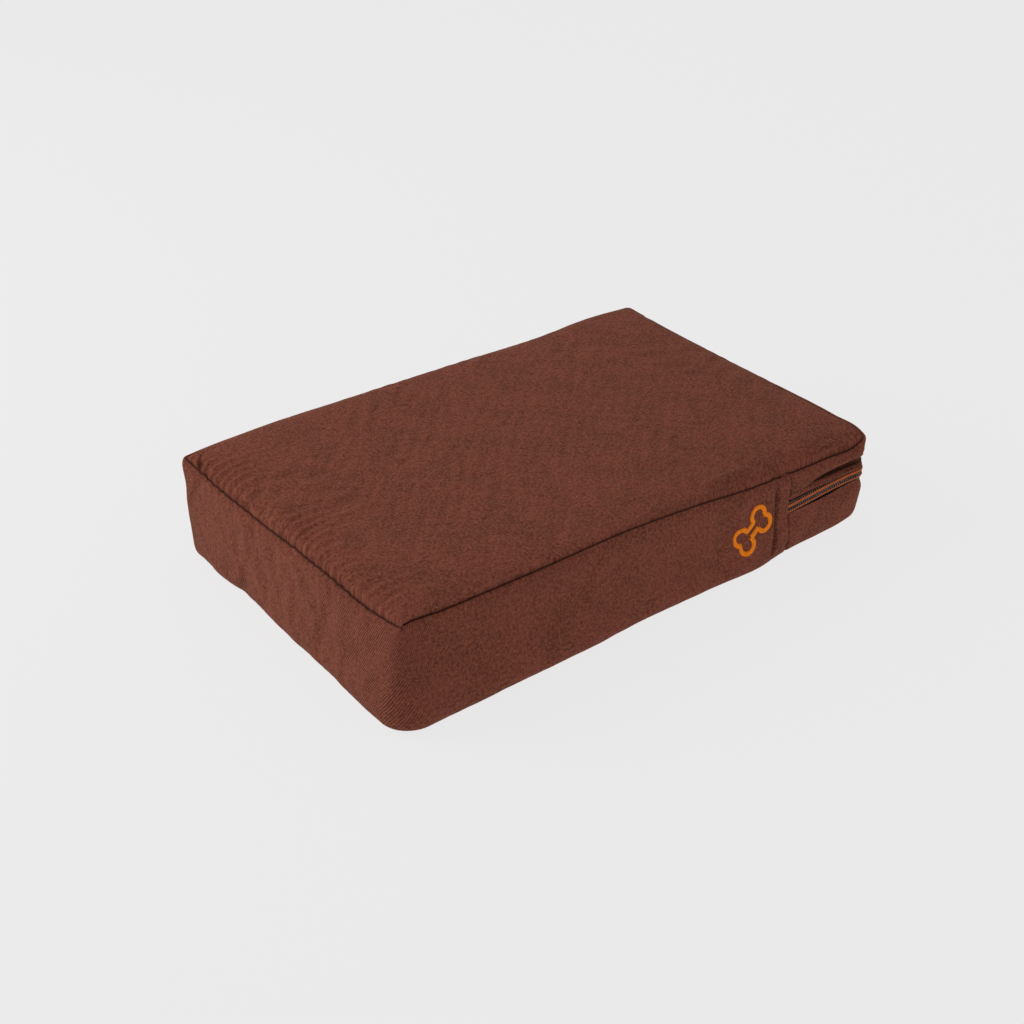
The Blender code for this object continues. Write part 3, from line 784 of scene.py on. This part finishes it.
def fine_places(start, end):
    """Places along the wall, closer together where its cloth has small folds."""
    places = [start]
    while places[-1] < end:
        here = places[-1] % PERIMETER
        busy = here > 2 * LENGTH + WIDTH - 12 * MM or here < 12 * MM
        busy = busy or front(98) < here < right(-90) or right(86) < here < LENGTH + WIDTH + 12 * MM
        places.append(places[-1] + (1.1 if busy else 2.1) * MM)
    return np.array(places[:-1] + [end])


def wall_shares():
    """Shares of the wall's height for a whole strip: rows close together under the top seam."""
    height = WALL_ARC[-1]
    arcs = stepped(height, 0.2 * MM, 1.7 * MM, growth=1.4)
    return np.interp(arcs, WALL_ARC, SHARE_TABLE)


def wall_rib(distance, place):
    """How clearly the twill shows: most at the near corner and along the left side."""
    distance = np.mod(distance, PERIMETER)
    on_left = (distance > 2 * LENGTH + WIDTH).astype(float)
    near = np.maximum(hump(distance, 0, 26 * MM), hump(distance, PERIMETER, 70 * MM))
    under_seam = hump(distance, front(-90), 45 * MM) * smooth(place[..., 2], 45 * MM, 70 * MM)
    return np.clip(0.16 + 0.34 * on_left + 0.6 * near + 0.45 * under_seam, 0, 1)


def wall_painted_shade(distance, share, place):
    """How deep the painted shade in the top seam and in the creases is at each point of the wall, from 0
    to 1.
    """
    distance, height = np.mod(distance, PERIMETER), place[..., 2]
    # Painted shade: the creases darken the colour, spread 1.6 mm down from each crease line, and so does
    # the seam.
    deepest = np.minimum(creases(distance, height), creases(distance, height + 1.6 * MM))
    crease = np.clip(-deepest / FULL_CREASE, 0, 1)
    seam = hump(seam_gap(share), 0, SEAM_SPREAD)
    return np.clip(PAINTED_SHADE * seam + PAINTED_SHADE * crease, 0, 1)


def wall_cloth(name, node, places, share, points):
    """A piece of the side wall's cloth: points has a column for each of the places along it."""
    places = np.broadcast_to(places, points.shape[:2])
    cloth = np.stack([places, points[..., 2], 0 * places], -1)
    rib, fold = wall_rib(places, points), wall_painted_shade(places, share, points)
    piece = cloth_piece(name, node, points, cloth, rib, fold)


# Across a turned end of the boxing strip: how far along it each line lies, and how far out.
TURNED = ((0.25 * MM, -0.55 * MM), (-0.3 * MM, -1.15 * MM), (-4.0 * MM, -1.3 * MM))


def turned_end(end, way, share):
    """The lines of points that turn an end of the boxing strip under itself."""
    lines = []
    ahead = wall(np.array([end + 1 * MM]), share, raised=True)
    behind = wall(np.array([end - 1 * MM]), share, raised=True)
    along_way = (ahead - behind) / (2 * MM)
    out_way = np.cross(along_way, [0.0, 0.0, 1.0])
    for along, out in TURNED:
        edge = wall(np.array([end + way * min(along, 0.0)]), share, raised=True)
        lines.append(edge + out_way * out + along_way * way * max(along, 0.0))
    return lines


def boxing():
    """The side's long strip, from the back fold round the left side to the front fold."""
    places = fine_places(BACK_FOLD_END, PERIMETER + FOLD_END)
    share = wall_shares()[:, None]
    before = turned_end(places[0], -1, share)[::-1]
    after = turned_end(places[-1], 1, share)
    points = np.concatenate([*before, wall(places, share, raised=True), *after], axis=1)
    extra = len(TURNED)
    places = np.concatenate([[places[0]] * extra, places, [places[-1]] * extra])
    wall_cloth("boxing_cloth", "boxing_strip", places, share, points)


BAND_START = front(117)
BAND_END = right(101)


def upper_gap(distance):
    """How far over the middle of the zip the upper band's edge lies."""
    narrowed = 1.9 * smooth(distance, front(150), front(196))
    widened = 1.4 * smooth(distance, LENGTH, right(-112))
    return (5.3 - narrowed + widened) * MM


def lower_gap(distance):
    """How far under the middle of the zip the lower band's edge lies."""
    return (5.0 + 2.4 * hump(distance, front(160), 26 * MM)) * MM


# Across a band's hem: how far past its edge each line lies, and how far out.
HEM = ((-0.3 * MM, -0.5 * MM), (0.0, -1.1 * MM), (5.0 * MM, -1.4 * MM))


def band(name, edge_gap, end_share, wall_part):
    """The cloth between the zip and a seam; its hem turns back at edge_gap from the zip."""
    upper = end_share == 1.0
    places = fine_places(BAND_START, BAND_END)
    way = 1 if upper else -1
    edge_share = share_at_height(places, chain_height(places) + way * edge_gap(places))
    length = wall_part * WALL_ARC[-1]
    steps = stepped(length, 0.2 * MM, 1.3 * MM, growth=1.4)[:, None] / length
    share = end_share + (edge_share - end_share) * steps
    points = wall(places, share)
    up = np.array([0.0, 0.0, way])
    hem = [points[-1] + outward(places) * out + up * rise for rise, out in HEM]
    points = np.concatenate([points, np.array(hem)])
    share = np.concatenate([share, np.repeat(share[-1:], len(hem), axis=0)])
    if upper:
        points, share = points[::-1], share[::-1]
    wall_cloth(name + "_cloth", name, places, share, points)


# Materials.


class Look:
    """A node material; each method adds a node and gives back its result."""

    def __init__(self, name, coordinates="Object", **shader):
        self.material = bpy.data.materials.new(name)
        self.material.use_nodes = True
        self.tree = self.material.node_tree
        self.shader = self.tree.nodes["Principled BSDF"]
        for label, value in shader.items():
            self.shader.inputs[label.replace("_", " ")].default_value = value
        if coordinates == "cloth":
            place = self.node("ShaderNodeAttribute", attribute_name="cloth").outputs["Vector"]
        else:
            place = self.node("ShaderNodeTexCoord").outputs["Object"]
        self.mm = self.vector("MULTIPLY", place, (1000, 1000, 1000))

    def node(self, kind, inputs=(), **settings):
        made = self.tree.nodes.new(kind)
        for label, value in settings.items():
            setattr(made, label, value)
        for label, value in dict(inputs).items():
            if isinstance(value, bpy.types.NodeSocket):
                self.tree.links.new(value, made.inputs[label])
            else:
                made.inputs[label].default_value = value
        return made

    def vector(self, operation, a, b):
        return self.node("ShaderNodeVectorMath", {0: a, 1: b}, operation=operation).outputs[0]

    def math(self, operation, a, b=0.0, c=0.0):
        return self.node("ShaderNodeMath", {0: a, 1: b, 2: c}, operation=operation).outputs[0]

    def noise(self, size, detail=2.0, roughness=0.5, stretch=(1, 1, 1), shift=0.0):
        """Noise with features about this many millimetres across."""
        scaled = self.vector("MULTIPLY", self.mm, tuple(part / size for part in stretch))
        moved = self.vector("ADD", scaled, (shift, shift, shift))
        wanted = {"Vector": moved, "Scale": 1.0, "Detail": detail, "Roughness": roughness}
        return self.node("ShaderNodeTexNoise", wanted).outputs[0]

    def ramp(self, value, low, high, to_low=0.0, to_high=1.0):
        wanted = {"Value": value, 1: low, 2: high, 3: to_low, 4: to_high}
        return self.node("ShaderNodeMapRange", wanted).outputs[0]

    def mix(self, share, a, b):
        """Two colours mixed; a and b are colours or results."""
        made = self.node("ShaderNodeMix", data_type="RGBA")
        for index, value in ((0, share), (6, a), (7, b)):
            if isinstance(value, bpy.types.NodeSocket):
                self.tree.links.new(value, made.inputs[index])
            elif index == 0:
                made.inputs[index].default_value = value
            else:
                made.inputs[index].default_value = (*value, 1)
        return made.outputs[2]

    def colour(self, result):
        self.tree.links.new(result, self.shader.inputs["Base Color"])

    def two_tone(self, tone, limits, dark, light, depth):
        """Colour the surface from dark to light over this result, and raise it by depth."""
        self.colour(self.mix(self.ramp(tone, *limits), dark, light))
        self.relief(tone, depth)
        return self.material

    def relief(self, height, depth):
        bump = self.node("ShaderNodeBump", {"Height": height, "Distance": depth, "Strength": 1.0})
        self.tree.links.new(bump.outputs[0], self.shader.inputs["Normal"])


TWILL_PITCH = (1.64, 2.96)
CLOTH_COLOURS = {
    "brown": (0.180, 0.0460, 0.0320),
    "olive": (0.120, 0.0345, 0.0205),
    "rust": (0.178, 0.0470, 0.0275),
    "stroke": (0.066, 0.0148, 0.0080),
    "fleck": (0.245, 0.0800, 0.0490),
    "grain": (0.300, 0.1080, 0.0620),
    "groove": (0.055, 0.0130, 0.0085),
    "rib": (0.240, 0.0790, 0.0520),
    "lint": (0.55, 0.30, 0.20),
    # the painted shade of seams, creases and hollows
    "fold": (0.016, 0.0045, 0.0028),
}


def nap(look, strokes, flecks):
    """The brushed surface: patches of two browns under short strokes, flecks and a fine grain."""
    wide = look.ramp(look.noise(30, 3, 0.55), 0.42, 0.58)
    patch = look.ramp(look.noise(9, 4, 0.65, shift=5.0), 0.40, 0.60)
    grain = look.ramp(look.noise(1.4, 1, 0.5, shift=41.0), 0.55, 0.66)
    base = look.mix(wide, CLOTH_COLOURS["brown"], CLOTH_COLOURS["olive"])
    base = look.mix(look.math("MULTIPLY", patch, 0.7), base, CLOTH_COLOURS["rust"])
    base = look.mix(look.ramp(strokes, 0, 1, 0.55, 0.0), base, CLOTH_COLOURS["stroke"])
    base = look.mix(look.ramp(flecks, 0, 1, 0.0, 0.48), base, CLOTH_COLOURS["fleck"])
    return look.mix(look.ramp(grain, 0, 1, 0.0, 0.38), base, CLOTH_COLOURS["grain"])


def twill(look):
    """The diagonal ribs, from -1 in a groove to 1 on a rib, where the cloth shows them."""
    parts = look.node("ShaderNodeSeparateXYZ", {0: look.mm})
    slant = look.math("MULTIPLY", parts.outputs[0], 1 / TWILL_PITCH[0])
    slant = look.math("MULTIPLY_ADD", parts.outputs[1], -1 / TWILL_PITCH[1], slant)
    slant = look.math("MULTIPLY_ADD", look.noise(7, 2, 0.5, shift=31.0), 0.7, slant)
    wave = look.math("SINE", look.math("MULTIPLY", slant, 2 * math.pi))
    shown = look.node("ShaderNodeAttribute", attribute_name="rib").outputs["Fac"]
    worn = look.ramp(look.noise(13, 2, 0.5, shift=3.0), 0.3, 0.7, 0.5, 1.0)
    return look.math("MULTIPLY", wave, look.math("MULTIPLY", shown, worn))


def lint(look):
    """1 on the few specks of lint."""
    cells = look.node("ShaderNodeTexVoronoi", {"Vector": look.mm, "Scale": 1 / 12})
    rare = look.node("ShaderNodeSeparateColor", {0: cells.outputs["Color"]}).outputs[0]
    near = look.ramp(cells.outputs["Distance"], 0.02, 0.045, 1, 0)
    return look.math("MULTIPLY", near, look.ramp(rare, 0.82, 0.86))


def cover_cloth():
    """Brushed cotton twill: a short nap in reddish and olive browns over diagonal ribs."""
    look = Look("cover_cloth", "cloth", Roughness=0.92, Sheen_Weight=0.06, Sheen_Roughness=0.5,
                Sheen_Tint=(1.0, 0.62, 0.45, 1), Specular_IOR_Level=0.06)
    strokes = look.ramp(look.noise(2.2, 3, 0.65, (1.0, 0.6, 1.0), 9.0), 0.38, 0.62)
    flecks = look.ramp(look.noise(1.7, 2, 0.6, (0.8, 0.8, 1.0), 21.0), 0.44, 0.58)
    rib = twill(look)
    base = nap(look, strokes, flecks)
    base = look.mix(look.ramp(rib, -1, 0, 0.85, 0), base, CLOTH_COLOURS["groove"])
    base = look.mix(look.ramp(rib, 0, 1, 0, 0.55), base, CLOTH_COLOURS["rib"])
    base = look.mix(look.math("MULTIPLY", lint(look), 0.75), base, CLOTH_COLOURS["lint"])
    # Painted shade: the fold attribute darkens seams, creases and hollows towards the fold colour.
    fold = look.node("ShaderNodeAttribute", attribute_name="fold").outputs["Fac"]
    look.colour(look.mix(look.math("MULTIPLY", fold, 0.9), base, CLOTH_COLOURS["fold"]))
    height = look.math("MULTIPLY", flecks, 0.34)
    height = look.math("MULTIPLY_ADD", strokes, 0.55, height)
    height = look.math("MULTIPLY_ADD", rib, 0.35, height)
    look.relief(height, 0.36 * MM)
    return look.material


def thread(name, dark, light, sheen):
    """Twisted thread: fine dark turns between lighter plies."""
    look = Look(name, Roughness=0.6, Specular_IOR_Level=0.15, Sheen_Weight=sheen, Sheen_Roughness=0.35)
    return look.two_tone(look.noise(0.5, 2, 0.6), (0.34, 0.62), dark, light, 0.08 * MM)


def zip_tape():
    """Dark woven tape: short bricks of yarn with a herringbone shade."""
    look = Look("zip_tape", Roughness=0.85, Sheen_Weight=0.1)
    weave = look.node("ShaderNodeTexBrick", {"Vector": look.mm, "Scale": 1.0, "Brick Width": 1.1,
                                             "Row Height": 0.5, "Mortar Size": 0.09})
    herring = look.noise(0.6, 2)
    shade = look.mix(weave.outputs["Fac"], (0.040, 0.020, 0.014), (0.012, 0.007, 0.005))
    look.colour(look.mix(look.ramp(herring, 0.4, 0.7, 0, 0.5), shade, (0.062, 0.034, 0.024)))
    look.relief(look.math("SUBTRACT", 1.0, weave.outputs["Fac"]), 0.12 * MM)
    return look.material


def zip_coil():
    """Brown nylon in two tones, lightly drawn."""
    look = Look("zip_coil", Roughness=0.4, Specular_IOR_Level=0.3)
    tone = look.noise(5, 2, 0.5)
    look.colour(look.mix(look.ramp(tone, 0.35, 0.65), (0.090, 0.042, 0.032), (0.180, 0.088, 0.066)))
    look.relief(look.noise(0.4, 2), 0.03 * MM)
    return look.material


def metal(name, dark, light, roughness):
    """Enamelled or bare metal, worn lighter in patches and in fine streaks."""
    look = Look(name, Metallic=1.0, Roughness=roughness)
    wear = look.ramp(look.noise(2.2, 4, 0.65), 0.42, 0.68)
    scratch = look.ramp(look.noise(0.7, 3, 0.6, (0.12, 1.0, 1.0), 4.0), 0.5, 0.72)
    look.colour(look.mix(look.math("MULTIPLY", look.math("MAXIMUM", wear, scratch), 0.45), dark, light))
    look.relief(look.math("ADD", wear, scratch), 0.012 * MM)
    return look.material


def foam_look():
    """Yellowish open-cell foam."""
    look = Look("foam", Roughness=0.95, Subsurface_Weight=0.15)
    cells = look.node("ShaderNodeTexVoronoi", {"Vector": look.mm, "Scale": 1.1})
    tone = look.ramp(cells.outputs["Distance"], 0.1, 0.6)
    look.colour(look.mix(tone, (0.60, 0.52, 0.30), (0.80, 0.74, 0.52)))
    look.relief(tone, 0.5 * MM)
    return look.material


def wadding_look():
    """White fibres, mostly lying one way."""
    look = Look("wadding", Roughness=0.95, Sheen_Weight=0.4)
    fibres = look.noise(1.6, 4, 0.75, (0.3, 1.0, 1.0))
    return look.two_tone(fibres, (0.3, 0.7), (0.66, 0.66, 0.64), (0.86, 0.86, 0.84), 0.9 * MM)


def label_look():
    """Blank woven satin."""
    look = Look("label_satin", Roughness=0.42, Sheen_Weight=0.3)
    weave = look.noise(0.7, 2, 0.6, (0.15, 1.0, 1.0))
    return look.two_tone(weave, (0.35, 0.65), (0.74, 0.72, 0.68), (0.86, 0.85, 0.82), 0.05 * MM)


COVER_CLOTH = cover_cloth()
ORANGE_THREAD = thread("contrast_thread", (0.70, 0.165, 0.002), (1.0, 0.300, 0.006), 0.0)
COPPER_THREAD = thread("coil_thread", (0.27, 0.052, 0.008), (0.66, 0.155, 0.022), 0.1)
BROWN_THREAD = thread("sewing_thread", (0.022, 0.007, 0.004), (0.060, 0.019, 0.012), 0.0)
TAPE = zip_tape()
COIL = zip_coil()
BRONZE = metal("zip_metal", (0.075, 0.054, 0.040), (0.22, 0.15, 0.095), 0.38)
STEEL = metal("spring_steel", (0.42, 0.40, 0.38), (0.66, 0.64, 0.60), 0.3)


# The zip, its threads and the motif.


def on_wall(distance, height, lift):
    """Points at these places and heights on the wall, lifted straight off it."""
    distance, height = np.broadcast_arrays(np.asarray(distance, float), np.asarray(height, float))
    points = wall(distance, share_at_height(distance, height))
    return points + outward(distance) * lift[..., None]


def chain_line(places, rise=0.0, out=0.0):
    """Points on the zip's own line, which lies flat behind the bands' opening."""
    under_fold = 1 - smooth(places, front(119), front(126))
    depth = (0.2 - 1.85 * smooth(places, front(194), right(-112)) - 1.9 * under_fold) * MM
    middle, _ = plan(places, corner_radius(places), chain_out(places) + depth + out)
    return np.concatenate([middle, (chain_height(places) + rise)[:, None]], 1)


COIL_PITCH = 2.0 * MM
COIL_TURN = 14
CHAIN_START, CHAIN_STOP = front(119), right(100)


def coils():
    """The two coils: a loop at every pitch, the lower coil's half a turn on from the upper's."""
    count = int((CHAIN_STOP - CHAIN_START) / COIL_PITCH * COIL_TURN)
    phase = np.arange(count) / COIL_TURN * 2 * math.pi
    places = CHAIN_START + COIL_PITCH * phase / (2 * math.pi)
    for name, way, shift in (("upper", 1, 0.0), ("lower", -1, 0.5)):
        around = phase + shift * 2 * math.pi
        across = way * (1.95 + 2.15 * np.cos(around)) * MM
        depth = 0.85 * MM * np.sin(around)
        lean = 0.28 * COIL_PITCH * np.cos(around)
        path = chain_line(places + lean, across, depth)
        node = f"zip_coil_{name}"
        tubes(node + "_loops", node, [path], 0.47 * MM, COIL)


def coil_cords():
    """The bright threads that sew the coils to their tapes: two strands above and one below."""
    steps = np.arange(CHAIN_START, CHAIN_STOP, 0.5 * MM)
    ripple = 0.10 * MM * np.sin(2 * math.pi * steps / COIL_PITCH)
    for name, middle, strands in (("upper", 2.15, (-0.48, 0.48)), ("lower", -2.5, (0.0,))):
        paths = [
            chain_line(steps, middle * MM + strand * MM, 1.1 * MM + ripple) for strand in strands
        ]
        node = f"zip_coil_thread_{name}"
        tubes(node + "_cord", node, paths, 0.40 * MM, COPPER_THREAD)


def tapes():
    """The two tapes behind the coils, which slope back under the bands."""
    steps = np.arange(front(116), right(104), 2 * MM)
    for name, way in (("upper", 1), ("lower", -1)):
        rises = np.array([0.5, 1.2, 4.0, 8.0, 12.5]) * MM * way
        rows = np.stack([chain_line(steps, rise, -1.5 * MM - 0.36 * abs(rise)) for rise in rises])
        node = f"zip_tape_{name}"
        mesh = grid_mesh(node, rows if way > 0 else rows[::-1])
        piece = new_piece(node + "_ribbon", node, mesh, TAPE)
        thicken(piece, 0.6 * MM, 0)


STITCH_RADIUS = 0.24 * MM


def topstitches():
    """The line over the zip in separate stitches, each one dipping into the cloth at its ends."""
    pitch, length = 3.0 * MM, 2.3 * MM
    starts = np.arange(front(126), right(91), pitch)
    shares = np.linspace(0, 1, 6)
    arch = np.sin(math.pi * shares) ** 0.6
    places = starts[:, None] + shares * length
    lifts = 0.3 * MM * arch - 0.25 * MM * (1 - arch)
    paths = on_wall(places, topstitch_height(places), np.broadcast_to(lifts, places.shape))
    tubes("zip_topstitch_stitches", "zip_topstitch", paths, STITCH_RADIUS, BROWN_THREAD)


def bone_outline(length, lobe, shaft):
    """A closed bone shape, centred and lying along X, as points close together."""
    rise = 0.8 * lobe
    centre = np.array([length / 2 - lobe, rise])
    start = math.atan2(shaft - rise, -math.sqrt(lobe**2 - (shaft - rise) ** 2)) % (2 * math.pi)
    stop = math.atan2(-rise, math.sqrt(lobe**2 - rise**2))
    angles = np.linspace(start, stop, 40)
    arc = centre + lobe * toward(angles)
    shaft_line = np.stack([np.linspace(0, arc[0, 0], 12, endpoint=False), np.full(12, shaft)], -1)
    quarter = np.concatenate([shaft_line, arc])
    half = np.concatenate([quarter, quarter[-2::-1] * [1, -1]])
    return np.concatenate([half, half[-2:0:-1] * [-1, 1]])


def along(path, step):
    """Points evenly spaced along a closed path, and the way it runs at each."""
    closed = np.concatenate([path, path[:1]])
    lengths = np.concatenate([[0], np.cumsum(np.linalg.norm(np.diff(closed, axis=0), axis=1))])
    wanted = np.linspace(0, lengths[-1], int(lengths[-1] / step), endpoint=False)
    places = np.stack([np.interp(wanted, lengths, closed[:, i]) for i in range(2)], -1)
    ways = np.roll(places, -1, axis=0) - np.roll(places, 1, axis=0)
    return places, ways / np.linalg.norm(ways, axis=1, keepdims=True)


def motif():
    """The generic bone on the front, in satin stitch: one thread after another across its line."""
    low, high = (np.array(corner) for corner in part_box("sewn_motif"))
    middle = np.array([(low[0] + high[0]) / 2 + LENGTH / 2, (low[2] + high[2]) / 2])
    tilt = math.radians(35)
    turn = np.array([[math.cos(tilt), -math.sin(tilt)], [math.sin(tilt), math.cos(tilt)]])
    outline = bone_outline(32 * MM, 5.9 * MM, 3.0 * MM)
    places, ways = along(outline, 0.36 * MM)
    across = np.stack([-ways[:, 1], ways[:, 0]], -1) + 0.25 * ways
    uneven = 1 + 0.08 * np.sin(np.arange(len(places)) * 2.4)
    shares = np.linspace(-1, 1, 7)
    stroke = 1.65 * MM * uneven[:, None, None] * shares[None, :, None] * across[:, None]
    points = (places[:, None] + stroke) @ turn.T + middle
    lift = (0.62 * (1 - np.abs(shares) ** 3) - 0.12) * MM
    paths = on_wall(points[..., 0], points[..., 1], np.broadcast_to(lift, points.shape[:2]))
    name = "sewn_motif_stitches"
    tubes(name, "sewn_motif", paths, STITCH_RADIUS, ORANGE_THREAD, sides=5)


def seam_stitches(name, node, share, lift):
    """The lockstitch down in a seam, one stitch after another."""
    starts = np.arange(0, PERIMETER, 3.2 * MM)
    places = starts[:, None] + np.linspace(0, 2.5 * MM, 4)
    paths = wall(places, share)
    paths[..., 2] += lift * np.sin(math.pi * np.linspace(0.1, 0.9, 4))
    tubes(name, node, paths, STITCH_RADIUS, BROWN_THREAD, sides=5)


PALE = (0.838, 0.830, 0.830, 1)


def add_camera():
    """The camera at the photograph's angle, three and a bit lengths away."""
    azimuth, elevation = math.radians(-38.1), math.radians(31.3)
    flat = math.cos(elevation)
    back_way = Vector((math.sin(azimuth) * flat, -math.cos(azimuth) * flat, math.sin(elevation)))
    right_way = Vector((math.cos(azimuth), math.sin(azimuth), 0))
    up_way = back_way.cross(right_way)
    camera = link("camera", bpy.data.cameras.new("camera"))
    camera.data.lens = 66.5
    camera.data.sensor_width = 36
    place = LENGTH * (3.36 * back_way - 0.033 * right_way + 0.042 * up_way)
    turn = Matrix((right_way, up_way, back_way)).transposed().to_4x4()
    camera.matrix_world = Matrix.Translation(place) @ turn
    bpy.context.scene.camera = camera


def add_sky():
    """A pale sky that fades a little overhead, so that the horizon is as pale as the floor."""
    world = bpy.data.worlds.new("studio")
    world.use_nodes = True
    tree = world.node_tree
    sky = tree.nodes["Background"]
    sky.inputs["Color"].default_value = PALE
    place = tree.nodes.new("ShaderNodeTexCoord")
    height = tree.nodes.new("ShaderNodeSeparateXYZ")
    fade = tree.nodes.new("ShaderNodeMapRange")
    limits = {"From Min": 0.04, "From Max": 0.40, "To Min": 1.0, "To Max": 0.68}
    for label, value in limits.items():
        fade.inputs[label].default_value = value
    tree.links.new(place.outputs["Generated"], height.inputs[0])
    tree.links.new(height.outputs["Z"], fade.inputs["Value"])
    tree.links.new(fade.outputs[0], sky.inputs["Strength"])
    bpy.context.scene.world = world
    bpy.context.scene.view_settings.view_transform = "Standard"


def add_floor():
    """A wide paper floor that glows as pale as the sky and takes only a faint shadow."""
    mesh = bpy.data.meshes.new("floor")
    reach = 60 * LENGTH
    corners = [(-reach, -reach), (reach, -reach), (reach, reach), (-reach, reach)]
    mesh.from_pydata([(x, y, -0.5 * MM) for x, y in corners], [], [(0, 1, 2, 3)])
    link("floor", mesh)
    paper = bpy.data.materials.new("pale_floor")
    paper.use_nodes = True
    shader = paper.node_tree.nodes["Principled BSDF"]
    shader.inputs["Base Color"].default_value = (0.06, 0.06, 0.06, 1)
    shader.inputs["Roughness"].default_value = 1
    shader.inputs["Specular IOR Level"].default_value = 0
    shader.inputs["Emission Color"].default_value = PALE
    shader.inputs["Emission Strength"].default_value = 0.935
    mesh.materials.append(paper)


def add_window():
    """The soft main light from the far left."""
    light = bpy.data.lights.new("side_window", "AREA")
    light.size = 0.8
    light.energy = 13
    window = link("side_window", light)
    way = Vector((-0.62, 0.60, 0.50)).normalized()
    window.location = way * 1.6
    window.rotation_euler = way.to_track_quat("Z", "Y").to_euler()


def dress(node, look):
    """Give a CAD node that is shown as it is a finished material."""
    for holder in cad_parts[node].material_slots:
        holder.material = look


PAD_INSET = 1.5 * MM
PAD_ROUNDING = 9 * MM
PAD_WAVES = 22 * MM


def box_shape(counts):
    """A box from -1 to 1 with its faces divided into these counts of squares along each axis."""
    shape = bmesh.new()
    for axis in range(3):
        first, second = (axis + 1) % 3, (axis + 2) % 3
        for side in (-1, 1):
            grid = {}
            for i in range(counts[first] + 1):
                for j in range(counts[second] + 1):
                    at = np.zeros(3)
                    at[axis] = side
                    at[first] = 2 * i / counts[first] - 1
                    at[second] = 2 * j / counts[second] - 1
                    grid[i, j] = shape.verts.new(at)
            for i in range(counts[first]):
                for j in range(counts[second]):
                    ring = [grid[i, j], grid[i + 1, j], grid[i + 1, j + 1], grid[i, j + 1]]
                    shape.faces.new(ring if side > 0 else ring[::-1])
    bmesh.ops.remove_doubles(shape, verts=shape.verts, dist=1e-6)
    return shape


def pad(name, node, look, bulge, step):
    """A padded block with rounded edges and softly uneven faces, in place of a CAD solid."""
    low, high = (np.array(corner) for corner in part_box(node))
    centre, half = (low + high) / 2, (high - low) / 2 - PAD_INSET
    shape = box_shape([max(4, int(2 * h / step)) for h in half])
    for vertex in shape.verts:
        at = np.array(vertex.co) * half
        core = np.clip(at, -(half - PAD_ROUNDING), half - PAD_ROUNDING)
        way = at - core
        size = np.linalg.norm(way)
        if size > PAD_ROUNDING:
            at = core + way / size * PAD_ROUNDING
        flat = np.clip(1 - (np.abs(at) / half) ** 4, 0, 1)
        rise = noise.noise(Vector(at / PAD_WAVES)) * bulge * np.prod(flat + (1 - flat) * 0.3)
        vertex.co = centre + at * (1 + rise)
    mesh = bpy.data.meshes.new(name)
    shape.to_mesh(mesh)
    shape.free()
    new_piece(name, node, mesh, look)


add_camera()
add_sky()
add_floor()
add_window()
settle_cover()
pad("foam_pad", "foam_core", foam_look(), 0.004, 8 * MM)
pad("wadding_pad", "wadding_wrap", wadding_look(), 0.006, 6 * MM)
top_panel()
bottom_panel()
boxing()
band("zip_band_upper", upper_gap, end_share=1.0, wall_part=0.4)
band("zip_band_lower", lower_gap, end_share=0.0, wall_part=0.5)
coils()
coil_cords()
tapes()
motif()
topstitches()
seam_stitches("seam_stitches_top", "seam_thread_top", 1.0, -0.2 * MM)
seam_stitches("seam_stitches_bottom", "seam_thread_bottom", 0.0, -0.3 * MM)
for node in ("zip_bottom_stop", "zip_top_stop_upper", "zip_top_stop_lower", "zip_slider_body",
             "zip_slider_crown", "zip_pull"):
    dress(node, BRONZE)
dress("zip_lock_spring", STEEL)
dress("care_label", label_look())
